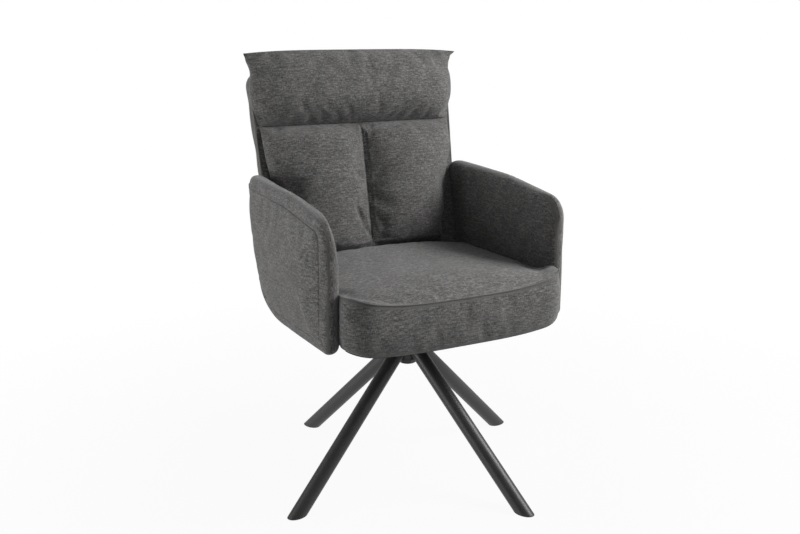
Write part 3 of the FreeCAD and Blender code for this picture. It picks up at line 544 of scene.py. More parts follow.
@dataclass(frozen=True)
class PowderCoat(Finish):
    """Satin powder-coated steel, with the coat's faint orange peel."""

    colour: tuple
    roughness: float

    def material(self) -> bpy.types.Material:
        """Write the coat's nodes.

        Returns:
            The material.
        """
        shading = self.started()
        place = shading.place()
        haze = shading.noise(place, 30, 3.0)
        rough = shading.ranged(haze, self.roughness - 0.05, self.roughness + 0.08)
        tint = shading.ramp(haze, ((0.3, self.colour), (0.75, scaled(self.colour, 1.25))))
        return shading.surface(tint, rough, (shading.noise(place, 300, 1.0), 0.04, 0.00002))


@dataclass(frozen=True)
class BareMetal(Finish):
    """Zinc-plated steel with fine brushed variation."""

    colour: tuple
    roughness: float = 0.38

    def material(self) -> bpy.types.Material:
        """Write the plating's nodes.

        Returns:
            The material.
        """
        shading = self.started()
        spangle = shading.noise(shading.place(), 160, 4.0)
        rough = shading.ranged(spangle, self.roughness - 0.08, self.roughness + 0.12)
        tint = shading.ramp(spangle, ((0.3, self.colour), (0.7, scaled(self.colour, 1.2))))
        return shading.surface(tint, rough, (spangle, 0.1, 0.0001), {"Metallic": 1.0})


@dataclass(frozen=True)
class Moulded(Finish):
    """Moulded black plastic with a fine spark-eroded grain."""

    colour: tuple

    def material(self) -> bpy.types.Material:
        """Write the plastic's nodes.

        Returns:
            The material.
        """
        shading = self.started()
        grain = shading.noise(shading.place(), 1400, 1.0)
        tint = shading.ramp(grain, ((0.3, self.colour), (0.7, scaled(self.colour, 1.3))))
        return shading.surface(tint, 0.55, (grain, 0.25, 0.0002))


@dataclass(frozen=True)
class Plywood(Finish):
    """Birch plywood: long grain on its faces and thin plies at its edges."""

    light: tuple = (0.62, 0.46, 0.29)
    dark: tuple = (0.42, 0.28, 0.16)

    def material(self) -> bpy.types.Material:
        """Write the wood's nodes.

        Returns:
            The material.
        """
        shading = self.started()
        place = shading.place()
        both = shading.weighted((shading.noise(place, (14, 190, 190), 5.0), 0.75),
                                (shading.noise(place, (2, 2, 700), 0.0), 0.25))
        tint = shading.ramp(both, ((0.35, self.dark), (0.65, self.light)))
        return shading.surface(tint, 0.7, (both, 0.15, 0.0003))


@dataclass(frozen=True)
class FeltedCloth(Finish):
    """Pressed lining cloth or foam: short matted fibres or open cells."""

    colour: tuple
    cell: float = 0.0015

    def material(self) -> bpy.types.Material:
        """Write the lining's nodes.

        Returns:
            The material.
        """
        shading = self.started()
        scale = 1 / self.cell
        fibres = shading.noise(shading.place(), (scale, scale * 0.4, scale), 3.0)
        tint = shading.ramp(fibres, ((0.3, scaled(self.colour, 0.7)), (0.7, self.colour)))
        return shading.surface(tint, 0.95, (fibres, 0.4, 0.0004))


@dataclass(frozen=True)
class PaleBackdrop(Finish):
    """A floor that the camera sees almost white and that still takes a soft shadow."""

    colour: tuple = (0.35, 0.35, 0.35)
    whiteness: float = 0.94
    fade: tuple = (0.5, 1.6)

    def material(self) -> bpy.types.Material:
        """Write the floor's nodes.

        Returns:
            The material.
        """
        shading = self.started()
        rays = shading.add("LightPath").outputs
        seen = shading.math("MAXIMUM", rays["Is Camera Ray"], rays["Is Glossy Ray"])
        seen = shading.math("MAXIMUM", seen, rays["Is Transmission Ray"])
        white = shading.add("Emission", {"Color": (1, 1, 1, 1), "Strength": 1.0})
        paint = shading.add("BsdfDiffuse", {"Color": (*self.colour, 1)})
        away = shading.add("VectorMath", {0: shading.place()}, operation="LENGTH").outputs["Value"]
        share = shading.math("MULTIPLY", seen, shading.ranged(away, self.whiteness, 1.0, *self.fade))
        mixed = shading.add("MixShader", {0: share, 1: paint.outputs[0], 2: white.outputs[0]})
        return shading.close(mixed.outputs[0])


# Sewing: piping, stitches and staples follow lines of points

class Trim(Enum):
    """What a sewing tree sets along its line."""

    PIPING = "piping"
    STITCHES = "stitches"
    STAPLES = "staples"


class Sewing(Nodes):
    """A Geometry Nodes tree that sews one kind of trim along lines of points."""

    def __init__(self, trim: Trim) -> None:
        """Write the tree for a kind of trim.

        Args:
            trim: what the tree sets along its line.
        """
        tree = bpy.data.node_groups.new(f"{trim.value}_along_a_line", "GeometryNodeTree")
        super().__init__(tree, "GeometryNode")
        self.sockets = {}
        tree.interface.new_socket("Geometry", in_out="INPUT", socket_type="NodeSocketGeometry")
        for name, kind in (("Radius", "Float"), ("Pitch", "Float"), ("Length", "Float"), ("Finish", "Material")):
            self.sockets[name] = tree.interface.new_socket(
                name, in_out="INPUT", socket_type="NodeSocket" + kind).identifier
        tree.interface.new_socket("Geometry", in_out="OUTPUT", socket_type="NodeSocketGeometry")
        inputs = self.add("NodeGroupInput").outputs
        line = self.add("MeshToCurve", {0: inputs["Geometry"]}).outputs[0]
        if trim is Trim.PIPING:
            even = self.add("ResampleCurve", {"Curve": line, "Length": inputs["Pitch"]}, mode="LENGTH")
            ring = self.add("CurvePrimitiveCircle", {"Resolution": 8, "Radius": inputs["Radius"]})
            made = self.add("CurveToMesh", {
                "Curve": even.outputs[0], "Profile Curve": ring.outputs[0], "Fill Caps": True})
        else:
            bar = self.stitch(inputs) if trim is Trim.STITCHES else self.staple(inputs)
            even = self.add("CurveToPoints", {"Curve": line, "Length": inputs["Pitch"]}, mode="LENGTH")
            made = self.add("InstanceOnPoints", {
                "Points": even.outputs[0], "Instance": bar, "Rotation": even.outputs["Rotation"]})
        soft = self.add("SetShadeSmooth", {0: made.outputs[0]})
        real = self.add("RealizeInstances", {0: soft.outputs[0]})
        dressed = self.add("SetMaterial", {"Geometry": real.outputs[0], "Material": inputs["Finish"]})
        self.add("NodeGroupOutput", {0: dressed.outputs[0]})

    def stitch(self, inputs: bpy.types.bpy_prop_collection) -> bpy.types.NodeSocket:
        """Make one stitch: a ball drawn out to the stitch's length.

        Args:
            inputs: the tree's own inputs.

        Returns:
            The link for the stitch.
        """
        ball = self.add("MeshUVSphere", {"Segments": 8, "Rings": 5, "Radius": inputs["Radius"]})
        stretch = self.math("DIVIDE", inputs["Length"], inputs["Radius"])
        sizes = self.add("ShaderNodeCombineXYZ", {0: 1.0, 1: 1.0, 2: self.math("MULTIPLY", stretch, 0.5)})
        return self.add("Transform", {"Geometry": ball.outputs[0], "Scale": sizes.outputs[0]}).outputs[0]

    def staple(self, inputs: bpy.types.bpy_prop_collection) -> bpy.types.NodeSocket:
        """Make one staple's back: a square bar.

        Args:
            inputs: the tree's own inputs.

        Returns:
            The link for the staple.
        """
        thick = self.math("MULTIPLY", inputs["Radius"], 2.0)
        sizes = self.add("ShaderNodeCombineXYZ", {0: thick, 1: thick, 2: inputs["Length"]})
        return self.add("MeshCube", {"Size": sizes.outputs[0]}).outputs[0]

    def sew(self, name: str, run: np.ndarray, finish: bpy.types.Material, sizes: tuple,
            looped: bool = False) -> bpy.types.Object:
        """Sew the trim along a line.

        Args:
            name: the piece's name.
            run: the line's points.
            finish: the trim's material.
            sizes: the cord's or thread's radius, the distance between repeats or between the points of piping,
                and the length of a stitch or staple.
            looped: whether the line closes on itself.

        Returns:
            A plain mesh object of the trim.
        """
        last = len(run) - 1
        edges = [(i, i + 1) for i in range(last)] + ([(last, 0)] if looped else [])
        mesh = bpy.data.meshes.new(name)
        mesh.from_pydata([tuple(point) for point in run], edges, [])
        carrier = placed(name, mesh)
        sewing = carrier.modifiers.new("sewing", "NODES")
        sewing.node_group = self.tree
        for socket, value in zip(("Radius", "Pitch", "Length", "Finish"), (*sizes, finish)):
            sewing[self.sockets[socket]] = value
        applied(carrier, sewing)
        return carrier


# Sub-assemblies

@dataclass
class LeaningBack:
    """The back's own directions: across, ahead of the shell's front, and up along the lean."""

    foot: float = 0.169
    datum: float = 0.375
    lean: float = math.radians(11.5)

    def point(self, x: np.ndarray, ahead: np.ndarray, length: np.ndarray) -> np.ndarray:
        """Turn across, ahead and length into points of the frame.

        Args:
            x: across the chair.
            ahead: in front of the shell's front plane.
            length: up along the shell from the seat board's underside.

        Returns:
            The points.
        """
        x, ahead, length = np.broadcast_arrays(x, ahead, length)
        y = self.foot - ahead * math.cos(self.lean) + length * math.sin(self.lean)
        z = self.datum + ahead * math.sin(self.lean) + length * math.cos(self.lean)
        return np.stack([x, y, z], axis=-1)

    def local(self, points: np.ndarray) -> tuple:
        """Turn points of the frame into distances ahead of the shell and lengths up along it.

        Args:
            points: points of the frame.

        Returns:
            The distances and the lengths.
        """
        y, z = points[:, 1] - self.foot, points[:, 2] - self.datum
        sine, cosine = math.sin(self.lean), math.cos(self.lean)
        return z * sine - y * cosine, y * sine + z * cosine


@dataclass(frozen=True)
class Fold:
    """A crease pressed into a cover, from one point to another of its across and length."""

    start: tuple
    end: tuple
    depth: float
    width: float

    def dent(self, across: np.ndarray, length: np.ndarray) -> np.ndarray:
        """How far the crease presses in at each point.

        Args:
            across: positions across the cover.
            length: positions up along the cover.

        Returns:
            The depth at each point.
        """
        start, end = np.array(self.start), np.array(self.end)
        run = end - start
        place = np.stack([across, length], axis=-1) - start
        share = np.clip(place @ run / (run @ run), 0, 1)
        off = np.linalg.norm(place - share[..., None] * run, axis=-1)
        taper = np.sin(np.pi * np.clip(share * 0.8 + 0.2, 0, 1)) ** 0.5
        return self.depth * taper * np.exp(-(off / self.width) ** 2)


@dataclass
class BackCushion:
    """The back's loose-looking cushion: two upright channels under a headrest with pointed corners."""

    back: LeaningBack
    foot: float = 0.121
    seam: float = 0.4255
    top: float = 0.590
    shell_top: float = 0.556
    stations: tuple = (0.121, 0.165, 0.20, 0.235, 0.27, 0.30, 0.345, 0.38, 0.402, 0.424, 0.445, 0.49,
                       0.53, 0.552, 0.566, 0.578, 0.590)
    half_widths: tuple = (0.196, 0.203, 0.211, 0.2155, 0.220, 0.230, 0.244, 0.2475, 0.2475, 0.2505, 0.2575,
                          0.268, 0.267, 0.265, 0.2685, 0.2740, 0.2810)
    base_stations: tuple = (0.128, 0.20, 0.27, 0.339, 0.362, 0.385, 0.431, 0.454, 0.546, 0.57, 0.590)
    base_widths: tuple = (0.198, 0.218, 0.236, 0.2455, 0.248, 0.2515, 0.2545, 0.2590, 0.2590, 0.2625, 0.2790)
    belly: float = 0.057
    valley: float = 0.018
    side: float = 0.022
    headrest: float = 0.057
    seam_depth: float = 0.003
    seam_reach: float = 0.030
    edge: float = 0.024
    crown: float = 0.007
    columns: int = 88
    rear_columns: int = 26
    spread_run: float = 0.035
    foam_front: float = 0.0295
    upright_foot: float = 0.150
    seam_half: float = 0.0030
    gap: float = 0.0006
    side_middle: float = 0.014
    low_round: float = 0.015
    top_round: float = 0.026
    hang: float = 0.004
    arch_from: float = 0.53
    arch_run: float = 0.05
    channel_foams: tuple = (0.010, 0.172, 0.172, 0.405)
    headrest_foam: tuple = (-1.0, 0.226, 0.443, 0.549)
    stuffing: Stuffing = Stuffing(pressure=5.0, slack=0.028, cap=0.009)
    folds: tuple = (
        Fold((-0.044, 0.218), (-0.006, 0.150), 0.017, 0.006),
        Fold((-0.060, 0.150), (-0.020, 0.180), 0.005, 0.008),
        Fold((0.018, 0.150), (0.036, 0.190), 0.004, 0.009),
        Fold((-0.225, 0.400), (-0.195, 0.432), 0.005, 0.007),
        Fold((-0.262, 0.545), (-0.190, 0.525), 0.004, 0.009),
        Fold((-0.262, 0.505), (-0.215, 0.495), 0.003, 0.008),
        Fold((0.262, 0.552), (0.205, 0.535), 0.004, 0.010),
        Fold((0.012, 0.398), (0.032, 0.414), 0.005, 0.006),
        Fold((0.210, 0.330), (0.238, 0.372), 0.004, 0.010),
        Fold((-0.215, 0.290), (-0.180, 0.270), 0.003, 0.012),
    )

    def relief(self, share: np.ndarray, length: np.ndarray) -> np.ndarray:
        """How far the cushion's front stands ahead of the shell.

        Args:
            share: across the cushion, -1 to 1 from side to side.
            length: up along the back.

        Returns:
            The distance ahead.
        """
        out = np.abs(share)
        low = np.clip((length - self.foot) / (self.seam - self.foot), 0, 1)
        channel = (1 - np.abs(2 * out - 1) ** 2.0) ** 0.70
        upright = (1 - np.abs(2 * low - 1) ** 2.8) ** 0.60
        base = self.valley + (self.side - self.valley) * out
        lower = base + (self.belly - base) * channel * (0.35 + 0.65 * upright)
        ending = np.sin(math.pi / 2 * np.clip((self.seam - length) / self.seam_reach, 0, 1)) ** 0.8
        lower = self.seam_depth + (lower - self.seam_depth) * ending
        high = np.clip((length - self.seam) / (self.top - self.seam), 0, 1)
        swelling = (1 - np.clip(1 - high / 0.36, 0, 1) ** 2.4) ** 0.75
        rise = swelling * (1 - 0.34 * eased((high - 0.45) / 0.55))
        crown = (1 - out ** 7) ** 0.7
        upper = self.seam_depth + (self.headrest - self.seam_depth) * rise * crown
        upper = upper + (self.edge - self.seam_depth) * 0.2 * high
        return np.where(length > self.seam, upper, lower)

    def sewn(self, length: float, across: np.ndarray) -> np.ndarray:
        """Say which points of a ring's front are sewn down: the seams and the two ends.

        Args:
            length: the ring's length up along the back.
            across: the points' distances from the middle.

        Returns:
            One for each sewn point and zero for the others.
        """
        ends = length < self.foot + 0.003 or length > self.top - 0.002
        if ends or abs(length - self.seam) < 0.004:
            return np.ones(len(across))
        upright = self.upright_foot < length < self.seam
        return np.where(upright & (np.abs(across) < self.seam_half), 1.0, 0.0)

    def ring(self, length: float, width: float, wide: float) -> tuple:
        """Draw one ring across the cushion.

        Args:
            length: its length up along the back.
            width: half the front's width.
            wide: half the rear's width.

        Returns:
            The ring's points and how firmly they are held.
        """
        even = np.linspace(-1, 1, self.columns)
        split = np.sign(even) * (0.375 * (1 - np.cos(math.pi * np.abs(even))) + 0.25 * np.abs(even))
        whole = 0.5 * np.sin(even * math.pi / 2) + 0.5 * even
        front = split + (whole - split) * eased((length - self.seam) / self.spread_run)
        behind = np.linspace(1, -1, self.rear_columns)
        low_end = eased((length - self.foot) / self.low_round)
        top_end, hang = 1.0, 0.0
        if length > self.shell_top:
            top_end = eased((self.top - length) / self.top_round)
            hang = self.hang * math.sin(
                math.pi * min(1.0, (length - self.shell_top) / (self.top - self.shell_top)))
        closing = np.sqrt(np.clip(low_end * top_end, 0, 1))
        mid = self.side_middle if length < self.seam else self.edge
        rest = self.gap + (mid - self.gap) * (1 - top_end) - hang
        ahead = mid + (self.relief(front, length) - mid) * closing
        hind = np.full(behind.shape, mid + (rest - mid) * (closing if length < self.seam else 1.0))
        edges = np.array([-1.0, 1.0])
        side_mid = self.back.point(
            edges * width, self.relief(edges, length) * 0.5 * closing + mid * (1 - closing), length)
        arch = self.crown * eased((length - self.arch_from) / self.arch_run)
        facing = self.back.point(front * (width - 0.004), ahead, length + arch * (1 - front ** 4))
        facing[0], facing[-1] = side_mid
        rear = self.back.point(behind * wide, hind, length + arch * (1 - behind ** 4))
        held = np.concatenate([self.sewn(length, front * width), np.ones(len(behind))])
        return np.concatenate([facing, rear]), held

    def press_folds(self, cover: bpy.types.Object) -> None:
        """Press the folds into the stuffed cover, and keep it outside the foam and the shell.

        Args:
            cover: the stuffed cover.
        """
        points = positions(cover.data)
        ahead, length = self.back.local(points)
        out = np.abs(points[:, 0])
        stuffed = np.zeros(len(points), bool)
        for near, far, low, high in (self.channel_foams, self.headrest_foam):
            stuffed |= (out > near) & (out < far) & (length > low) & (length < high)
        dent = sum(fold.dent(points[:, 0], length) for fold in self.folds)
        dent = dent * eased((ahead - 0.008) / 0.012)
        dent = np.where(stuffed, np.minimum(dent, np.clip(ahead - self.foam_front, 0, None)), dent)
        thin = np.where(stuffed & (ahead > 0.010), np.clip(self.foam_front - (ahead - dent), 0, None), 0)
        short = np.clip(0.0004 - ahead, 0, None) * (length < self.shell_top)
        inward = np.array([0, math.cos(self.back.lean), -math.sin(self.back.lean)])
        move_to(cover, points + (dent - thin - short)[:, None] * inward)

    def build(self) -> bpy.types.Object:
        """Make the cushion's stuffed cover.

        Returns:
            The cover, with its folds pressed in.
        """
        first, second = (low + (high - low) * (1 - np.cos(np.linspace(0, math.pi, count))) / 2
                         for low, high, count in ((self.foot, self.seam, 44), (self.seam, self.top, 28)))
        lengths = np.concatenate([first, second[1:]])
        half = through(self.stations, self.half_widths, lengths)
        base = through(self.base_stations, self.base_widths, lengths)
        skin = Skin("back_cushion_cover")
        for length, width, wide in zip(lengths, half, base):
            skin.add(*self.ring(length, width, wide))
        cover = skin.build()
        self.stuffing.fill(cover)
        self.press_folds(cover)
        smoothed(cover)
        return cover


@dataclass
class SeatCushion:
    """The boxed seat: a crowned top sewn to an upright band with rounded front corners."""

    front: float = -0.2505
    rear: float = 0.168
    half: float = 0.2550
    swell: float = 0.0075
    corner: float = 0.052
    rim: float = 0.3685
    lift: float = 0.0215
    centre_top: float = 0.4755
    corner_top: float = 0.5010
    side_top: float = 0.4855
    crown: float = 0.0245
    rear_corner: float = 0.012
    middle_half: float = 0.06
    middle_y: float = -0.045
    seam_roll: float = 0.0018
    bow: float = 0.0040
    tuck: float = 0.0020
    columns: int = 200
    stuffing: Stuffing = Stuffing(pressure=1.2, slack=0.012, cap=0.0035)

    def outline(self) -> np.ndarray:
        """The cushion's edge seen from above.

        Returns:
            Points all round, as columns by 2, and evenly spaced.
        """
        wide = self.half + self.swell
        small, straight = self.rear_corner, 0.10
        start = self.front + self.corner
        sides = bend((wide - self.corner, start), self.corner, 270, 360)
        upto = np.stack([np.full(30, wide), np.linspace(start, start + straight, 30)], axis=-1)[1:]
        upto[:, 0] -= self.swell * eased((upto[:, 1] - upto[0, 1]) / 0.018)
        hind = bend((self.half - small, self.rear - small), small, 0, 90)
        right = np.concatenate([sides, upto, hind])
        looped = closed(np.concatenate([right, right[::-1] * (-1, 1)]))
        lengths = along(looped)
        wanted = np.linspace(0, lengths[-1], self.columns + 1)[:-1]
        return np.stack([np.interp(wanted, lengths, looped[:, axis]) for axis in (0, 1)], axis=-1)


    def edge_height(self, x: np.ndarray, y: np.ndarray) -> np.ndarray:
        """Height of the sewn top edge, which dips at the front's middle and rises at its corners.

        Args:
            x: across the seat.
            y: along the seat.

        Returns:
            The height.
        """
        out = np.abs(x) / 0.250
        ahead = self.centre_top + (self.corner_top - self.centre_top) * np.clip(out, 0, 1) ** 3.6
        back = eased((y - (self.front + 0.055)) / 0.05)
        return ahead + (self.side_top - ahead) * back

    def top(self, x: np.ndarray, y: np.ndarray) -> np.ndarray:
        """Height of the crowned top.

        Args:
            x: across the seat.
            y: along the seat.

        Returns:
            The height.
        """
        run = np.clip((y - self.front) / 0.17, 0, 1)
        forward = 1 - (1 - run) ** 2.2
        across = np.clip(np.abs(x) / self.half, 0, 1)
        crown = self.crown * (0.80 + 0.20 * np.clip((y + 0.05) / 0.2, 0, 1)) * (1 - across ** 2.3)
        inside = self.side_top + crown
        edge = self.edge_height(x, np.full_like(y, self.front))
        return edge + (inside - edge) * forward

    def foot_height(self, plan: np.ndarray) -> np.ndarray:
        """Height of the cushion's lower edge, which is drawn up at its corners."""
        out = np.clip(np.abs(plan[:, 0]) / 0.2675, 0, 1)
        return self.rim + self.lift * out ** 4 * (1 - 0.5 * eased((plan[:, 1] + 0.15) / 0.06))

    def build(self) -> tuple:
        """Make the cover and the line of its top seam.

        Returns:
            The cover and the seam's points.
        """
        plan = self.outline()
        middle = np.stack([np.clip(plan[:, 0], -self.middle_half, self.middle_half),
                           np.full(len(plan), self.middle_y)], axis=-1)
        seam_z = self.edge_height(plan[:, 0], plan[:, 1])
        foot_z = self.foot_height(plan)
        away = unit(plan - np.array([0.0, self.middle_y]))
        run = along(closed(plan))
        skin = Skin("seat_cushion_cover")
        steps, band, shoulder = 26, 13, 0.22
        for step in range(steps, -1, -1):
            share = step / steps
            place = plan + (middle - plan) * share ** 1.15
            lift = self.top(place[:, 0], place[:, 1])
            edge = eased(share / 0.10)
            rounded = seam_z + (lift - seam_z) * (1 - (1 - np.clip(share / shoulder, 0, 1)) ** 2.0)
            height = np.where(share > shoulder, lift, rounded) + self.seam_roll * edge * (1 - edge) * 4
            skin.add(np.column_stack([place, height]), 1.0 if step == 0 else 0.0, place * (1, 0.6))
        bulged = eased((-0.16 - plan[:, 1]) / 0.05)
        for step in range(1, band + 1):
            share = step / band
            height = seam_z + (foot_z + 0.004 - seam_z) * share
            bow = self.bow * np.sin(np.pi * share) * bulged - self.tuck * (share ** 6)
            skin.add(np.column_stack([plan + away * bow[:, None], height]), 1.0 if step == band else 0.0,
                     np.stack([run, closed(height)], axis=-1))
        for inset in (0.010, 0.022, 0.05, 0.12):
            place = plan - away * inset
            height = foot_z + (self.rim - foot_z) * eased(np.full(len(plan), inset / 0.06)) + 0.001
            skin.add(np.column_stack([place, height]), 1.0, place)
        skin.add(np.column_stack([middle, np.full(len(plan), self.rim + 0.001)]), 1.0, middle)
        return self.stuffing.cover(skin), np.column_stack([plan, seam_z])


@dataclass
class Arm:
    """One arm: a rolled pad all round and a fuller outer panel sewn inside a crease."""

    side: Side
    back: LeaningBack
    inner: float = 0.2555
    thickness: float = 0.040
    front: float = 0.1965
    foot: float = 0.376
    front_top: float = 0.648
    middle_top: float = 0.676
    rear_top: float = 0.690
    shell: float = 0.040
    crease_inset: float = 0.0265
    crease_depth: float = 0.0024
    bulge: float = 0.012
    swell: float = 0.008
    rear_radius: float = 0.080
    radii: tuple = (0.024, 0.052, 0.5, 0.046, 0.200)
    inner_radius: float = 0.0195
    inner_soft: float = 0.078
    roll_high: float = 0.0235
    roll_deep: float = 0.0195
    lip: float = 0.004
    panel_run: float = 0.060
    board: float = 0.030
    board_top: float = 0.678
    spine_ends: tuple = (-0.075, 0.09)
    spine_height: float = 0.522
    spine_rise: float = 0.06
    stuffing: Stuffing = Stuffing(pressure=1.2, slack=0.004, cap=0.002)

    def corners(self) -> list:
        """The straight-sided outline seen from the side, from the lower front corner round by the top.

        Returns:
            Five corners as y and z.
        """
        lean = math.tan(self.back.lean)
        rear = self.back.point(0.0, -self.shell, 0.0)

        def behind(z: float) -> float:
            """The outline's y at a height, on the leaning rear."""
            return float(rear[1] + (z - rear[2]) * lean)

        return [(-self.front, self.foot), (-self.front, self.front_top), (0.0, self.middle_top),
                (behind(self.rear_top), self.rear_top), (behind(self.foot), self.foot)]

    def ring(self, inset: float, softer: float) -> np.ndarray:
        """The rounded outline, drawn in by an inset.

        Args:
            inset: distance inside the arm's outline.
            softer: extra rounding of the top front corner.

        Returns:
            The points of y and z, always as many on each run and bend.
        """
        corners = [np.array(corner) for corner in self.corners()]
        radii = [radius + softer * (index == 1) for index, radius in enumerate(self.radii)]
        drawn, bends = [], []
        count = len(corners)
        for index, here in enumerate(corners):
            last, following = unit(corners[index - 1] - here), unit(corners[(index + 1) % count] - here)
            middle = unit(last + following)
            sine = math.sqrt((1 - float(last @ following)) / 2)
            drawn.append((here + middle * inset / sine, last, following, middle, sine))
        for (place, last, following, middle, sine), radius in zip(drawn, radii):
            radius = max(radius - inset, 0.016)
            reach = radius * math.sqrt(1 - sine * sine) / sine
            hub = place + middle * radius / sine
            start, end = place + last * reach - hub, place + following * reach - hub
            opening = math.acos(float(np.clip(start @ end / radius ** 2, -1, 1)))
            turn = np.linspace(0, 1, 13)[:, None]
            bends.append(hub + (np.sin((1 - turn) * opening) * start + np.sin(turn * opening) * end)
                         / math.sin(opening))
        points = []
        for index, bend in enumerate(bends):
            points.append(bend)
            following = bends[(index + 1) % count][0]
            share = np.linspace(0, 1, 15)[1:-1, None]
            points.append(bend[-1] + (following - bend[-1]) * share)
        return np.concatenate(points)

    def spine(self, ring: np.ndarray) -> np.ndarray:
        """Where a ring's points meet on the line through the arm's middle."""
        y = np.clip(ring[:, 0], *self.spine_ends)
        return np.stack([y, self.spine_height + self.spine_rise * y], axis=-1)

    def out(self, x: float, ring: np.ndarray) -> np.ndarray:
        """Place a ring at a distance from the chair's middle, drawn in where the arm's rear is rounded.

        Args:
            x: distance from the chair's middle.
            ring: the points of y and z.

        Returns:
            Points of the frame.
        """
        lean = math.tan(self.back.lean)
        rear = self.back.point(0.0, -self.shell, 0.0)
        left = rear[1] + (ring[:, 1] - rear[2]) * lean - ring[:, 0]
        full = self.inner + self.thickness + self.bulge
        into = np.clip(1 - left / self.rear_radius, 0, 1)
        limit = full - self.rear_radius * (1 - np.sqrt(1 - into ** 2))
        factor = np.minimum(1.0, (limit - self.inner) / (full - self.inner))
        wide = self.inner + (x - self.inner) * np.clip(factor, 0.12, 1)
        if x > self.inner + self.board:
            board = eased((left - 0.009) / 0.015) * eased((self.board_top - ring[:, 1]) / 0.012)
            wide = np.maximum(wide, self.inner + self.board * board)
        pressed = self.swell * eased((ring[:, 0] - 0.08) / 0.13) * np.clip(1 - (x - self.inner) / 0.03, 0, 1)
        return np.stack([(wide - pressed) * self.side.value, ring[:, 0], ring[:, 1]], axis=-1)

    def sunk(self, ring: np.ndarray) -> np.ndarray:
        """How deep the crease is at each point of a ring, as a share; it fades at the rear and at the foot.

        Args:
            ring: the points of y and z.

        Returns:
            The share of the crease's depth.
        """
        rear = 1 - eased((ring[:, 0] - 0.06) / 0.13)
        foot = eased((ring[:, 1] - 0.43) / 0.10)
        return 0.05 + 0.95 * rear * foot

    def skin(self, name: str, rows: list) -> bpy.types.Object:
        """Make a closed skin whose rings follow a profile of insets and distances.

        Args:
            name: the piece's name.
            rows: for each ring, its share towards the spine, inset, distance from the middle, softness, how far
                the crease draws it in, and how firmly it is held.

        Returns:
            The stuffed skin's object.
        """
        skin = Skin(name)
        for share, inset, x, softer, drawn, hold in rows:
            ring = self.ring(inset, softer)
            ring = ring + (self.spine(ring) - ring) * share
            points = self.out(x, ring)
            points[:, 0] -= self.side.value * drawn * self.sunk(ring)
            skin.add(points, hold, ring)
        aside = np.array([abs(row[2] - self.inner - self.thickness / 2) for row in rows])
        facing = (aside > self.thickness / 2 - 0.010)[:, None, None]
        skin.flat = np.where(facing, np.array(skin.flat) * (-self.side.value, 1), skin.unrolled())
        return self.stuffing.cover(skin)

    def build(self) -> tuple:
        """Make the pad and the outer panel.

        Returns:
            The pad and the panel.
        """
        outer = self.inner + self.thickness
        radius, soft = self.inner_radius, self.inner_soft
        inset, deep = self.crease_inset, self.crease_depth
        pad = [(share, 0.030, self.inner, soft, 0.0, 0.5)
               for share in (1.0, 0.8, 0.6, 0.42, 0.28, 0.17, 0.08, 0.0)]
        pad += [(0.0, radius * (1 - math.sin(turn)), self.inner + radius * (1 - math.cos(turn)),
                 soft * math.cos(turn), 0.0, 0.0) for turn in np.radians(np.linspace(0, 90, 10))]
        pad += [(0.0, self.roll_high * (1 - math.cos(turn)), outer - self.roll_deep * (1 - math.sin(turn)),
                 0.0, 0.25 * deep * math.sin(turn) ** 4, 0.0) for turn in np.radians(np.linspace(8, 90, 11))]
        pad += [(0.0, drawn, outer, 0.0, share * deep, 1.0)
                for drawn, share in ((0.0246, 0.55), (0.0256, 0.85), (inset, 1.0))]
        pad += [(share, inset, outer - self.lip, 0.0, deep, 1.0) for share in (0.02, 0.5, 1.0)]

        panel = [(share, inset, outer - self.lip, 0.0, deep, 1.0) for share in (1.0, 0.5, 0.0)]
        start = inset + 0.0004
        for step in np.linspace(0.0, 1, 14):
            rise = math.sin(step * math.pi / 2) ** 1.25
            lip = 1 - (1 - min(1.0, step / 0.16)) ** 2
            panel.append((0.0, start + self.panel_run * step, outer + self.bulge * 0.9 * rise, 0.0,
                          deep * (1 - lip), 1.0 if step < 0.05 else 0.0))
        panel += [(share, start + self.panel_run, outer + self.bulge * (0.9 + 0.1 * share), 0.0, 0.0, 0.0)
                  for share in (0.12, 0.28, 0.46, 0.7, 1.0)]
        label = self.side.name.lower()
        return self.skin(f"arm_{label}_pad_cover", pad), self.skin(f"arm_{label}_outer_cover", panel)


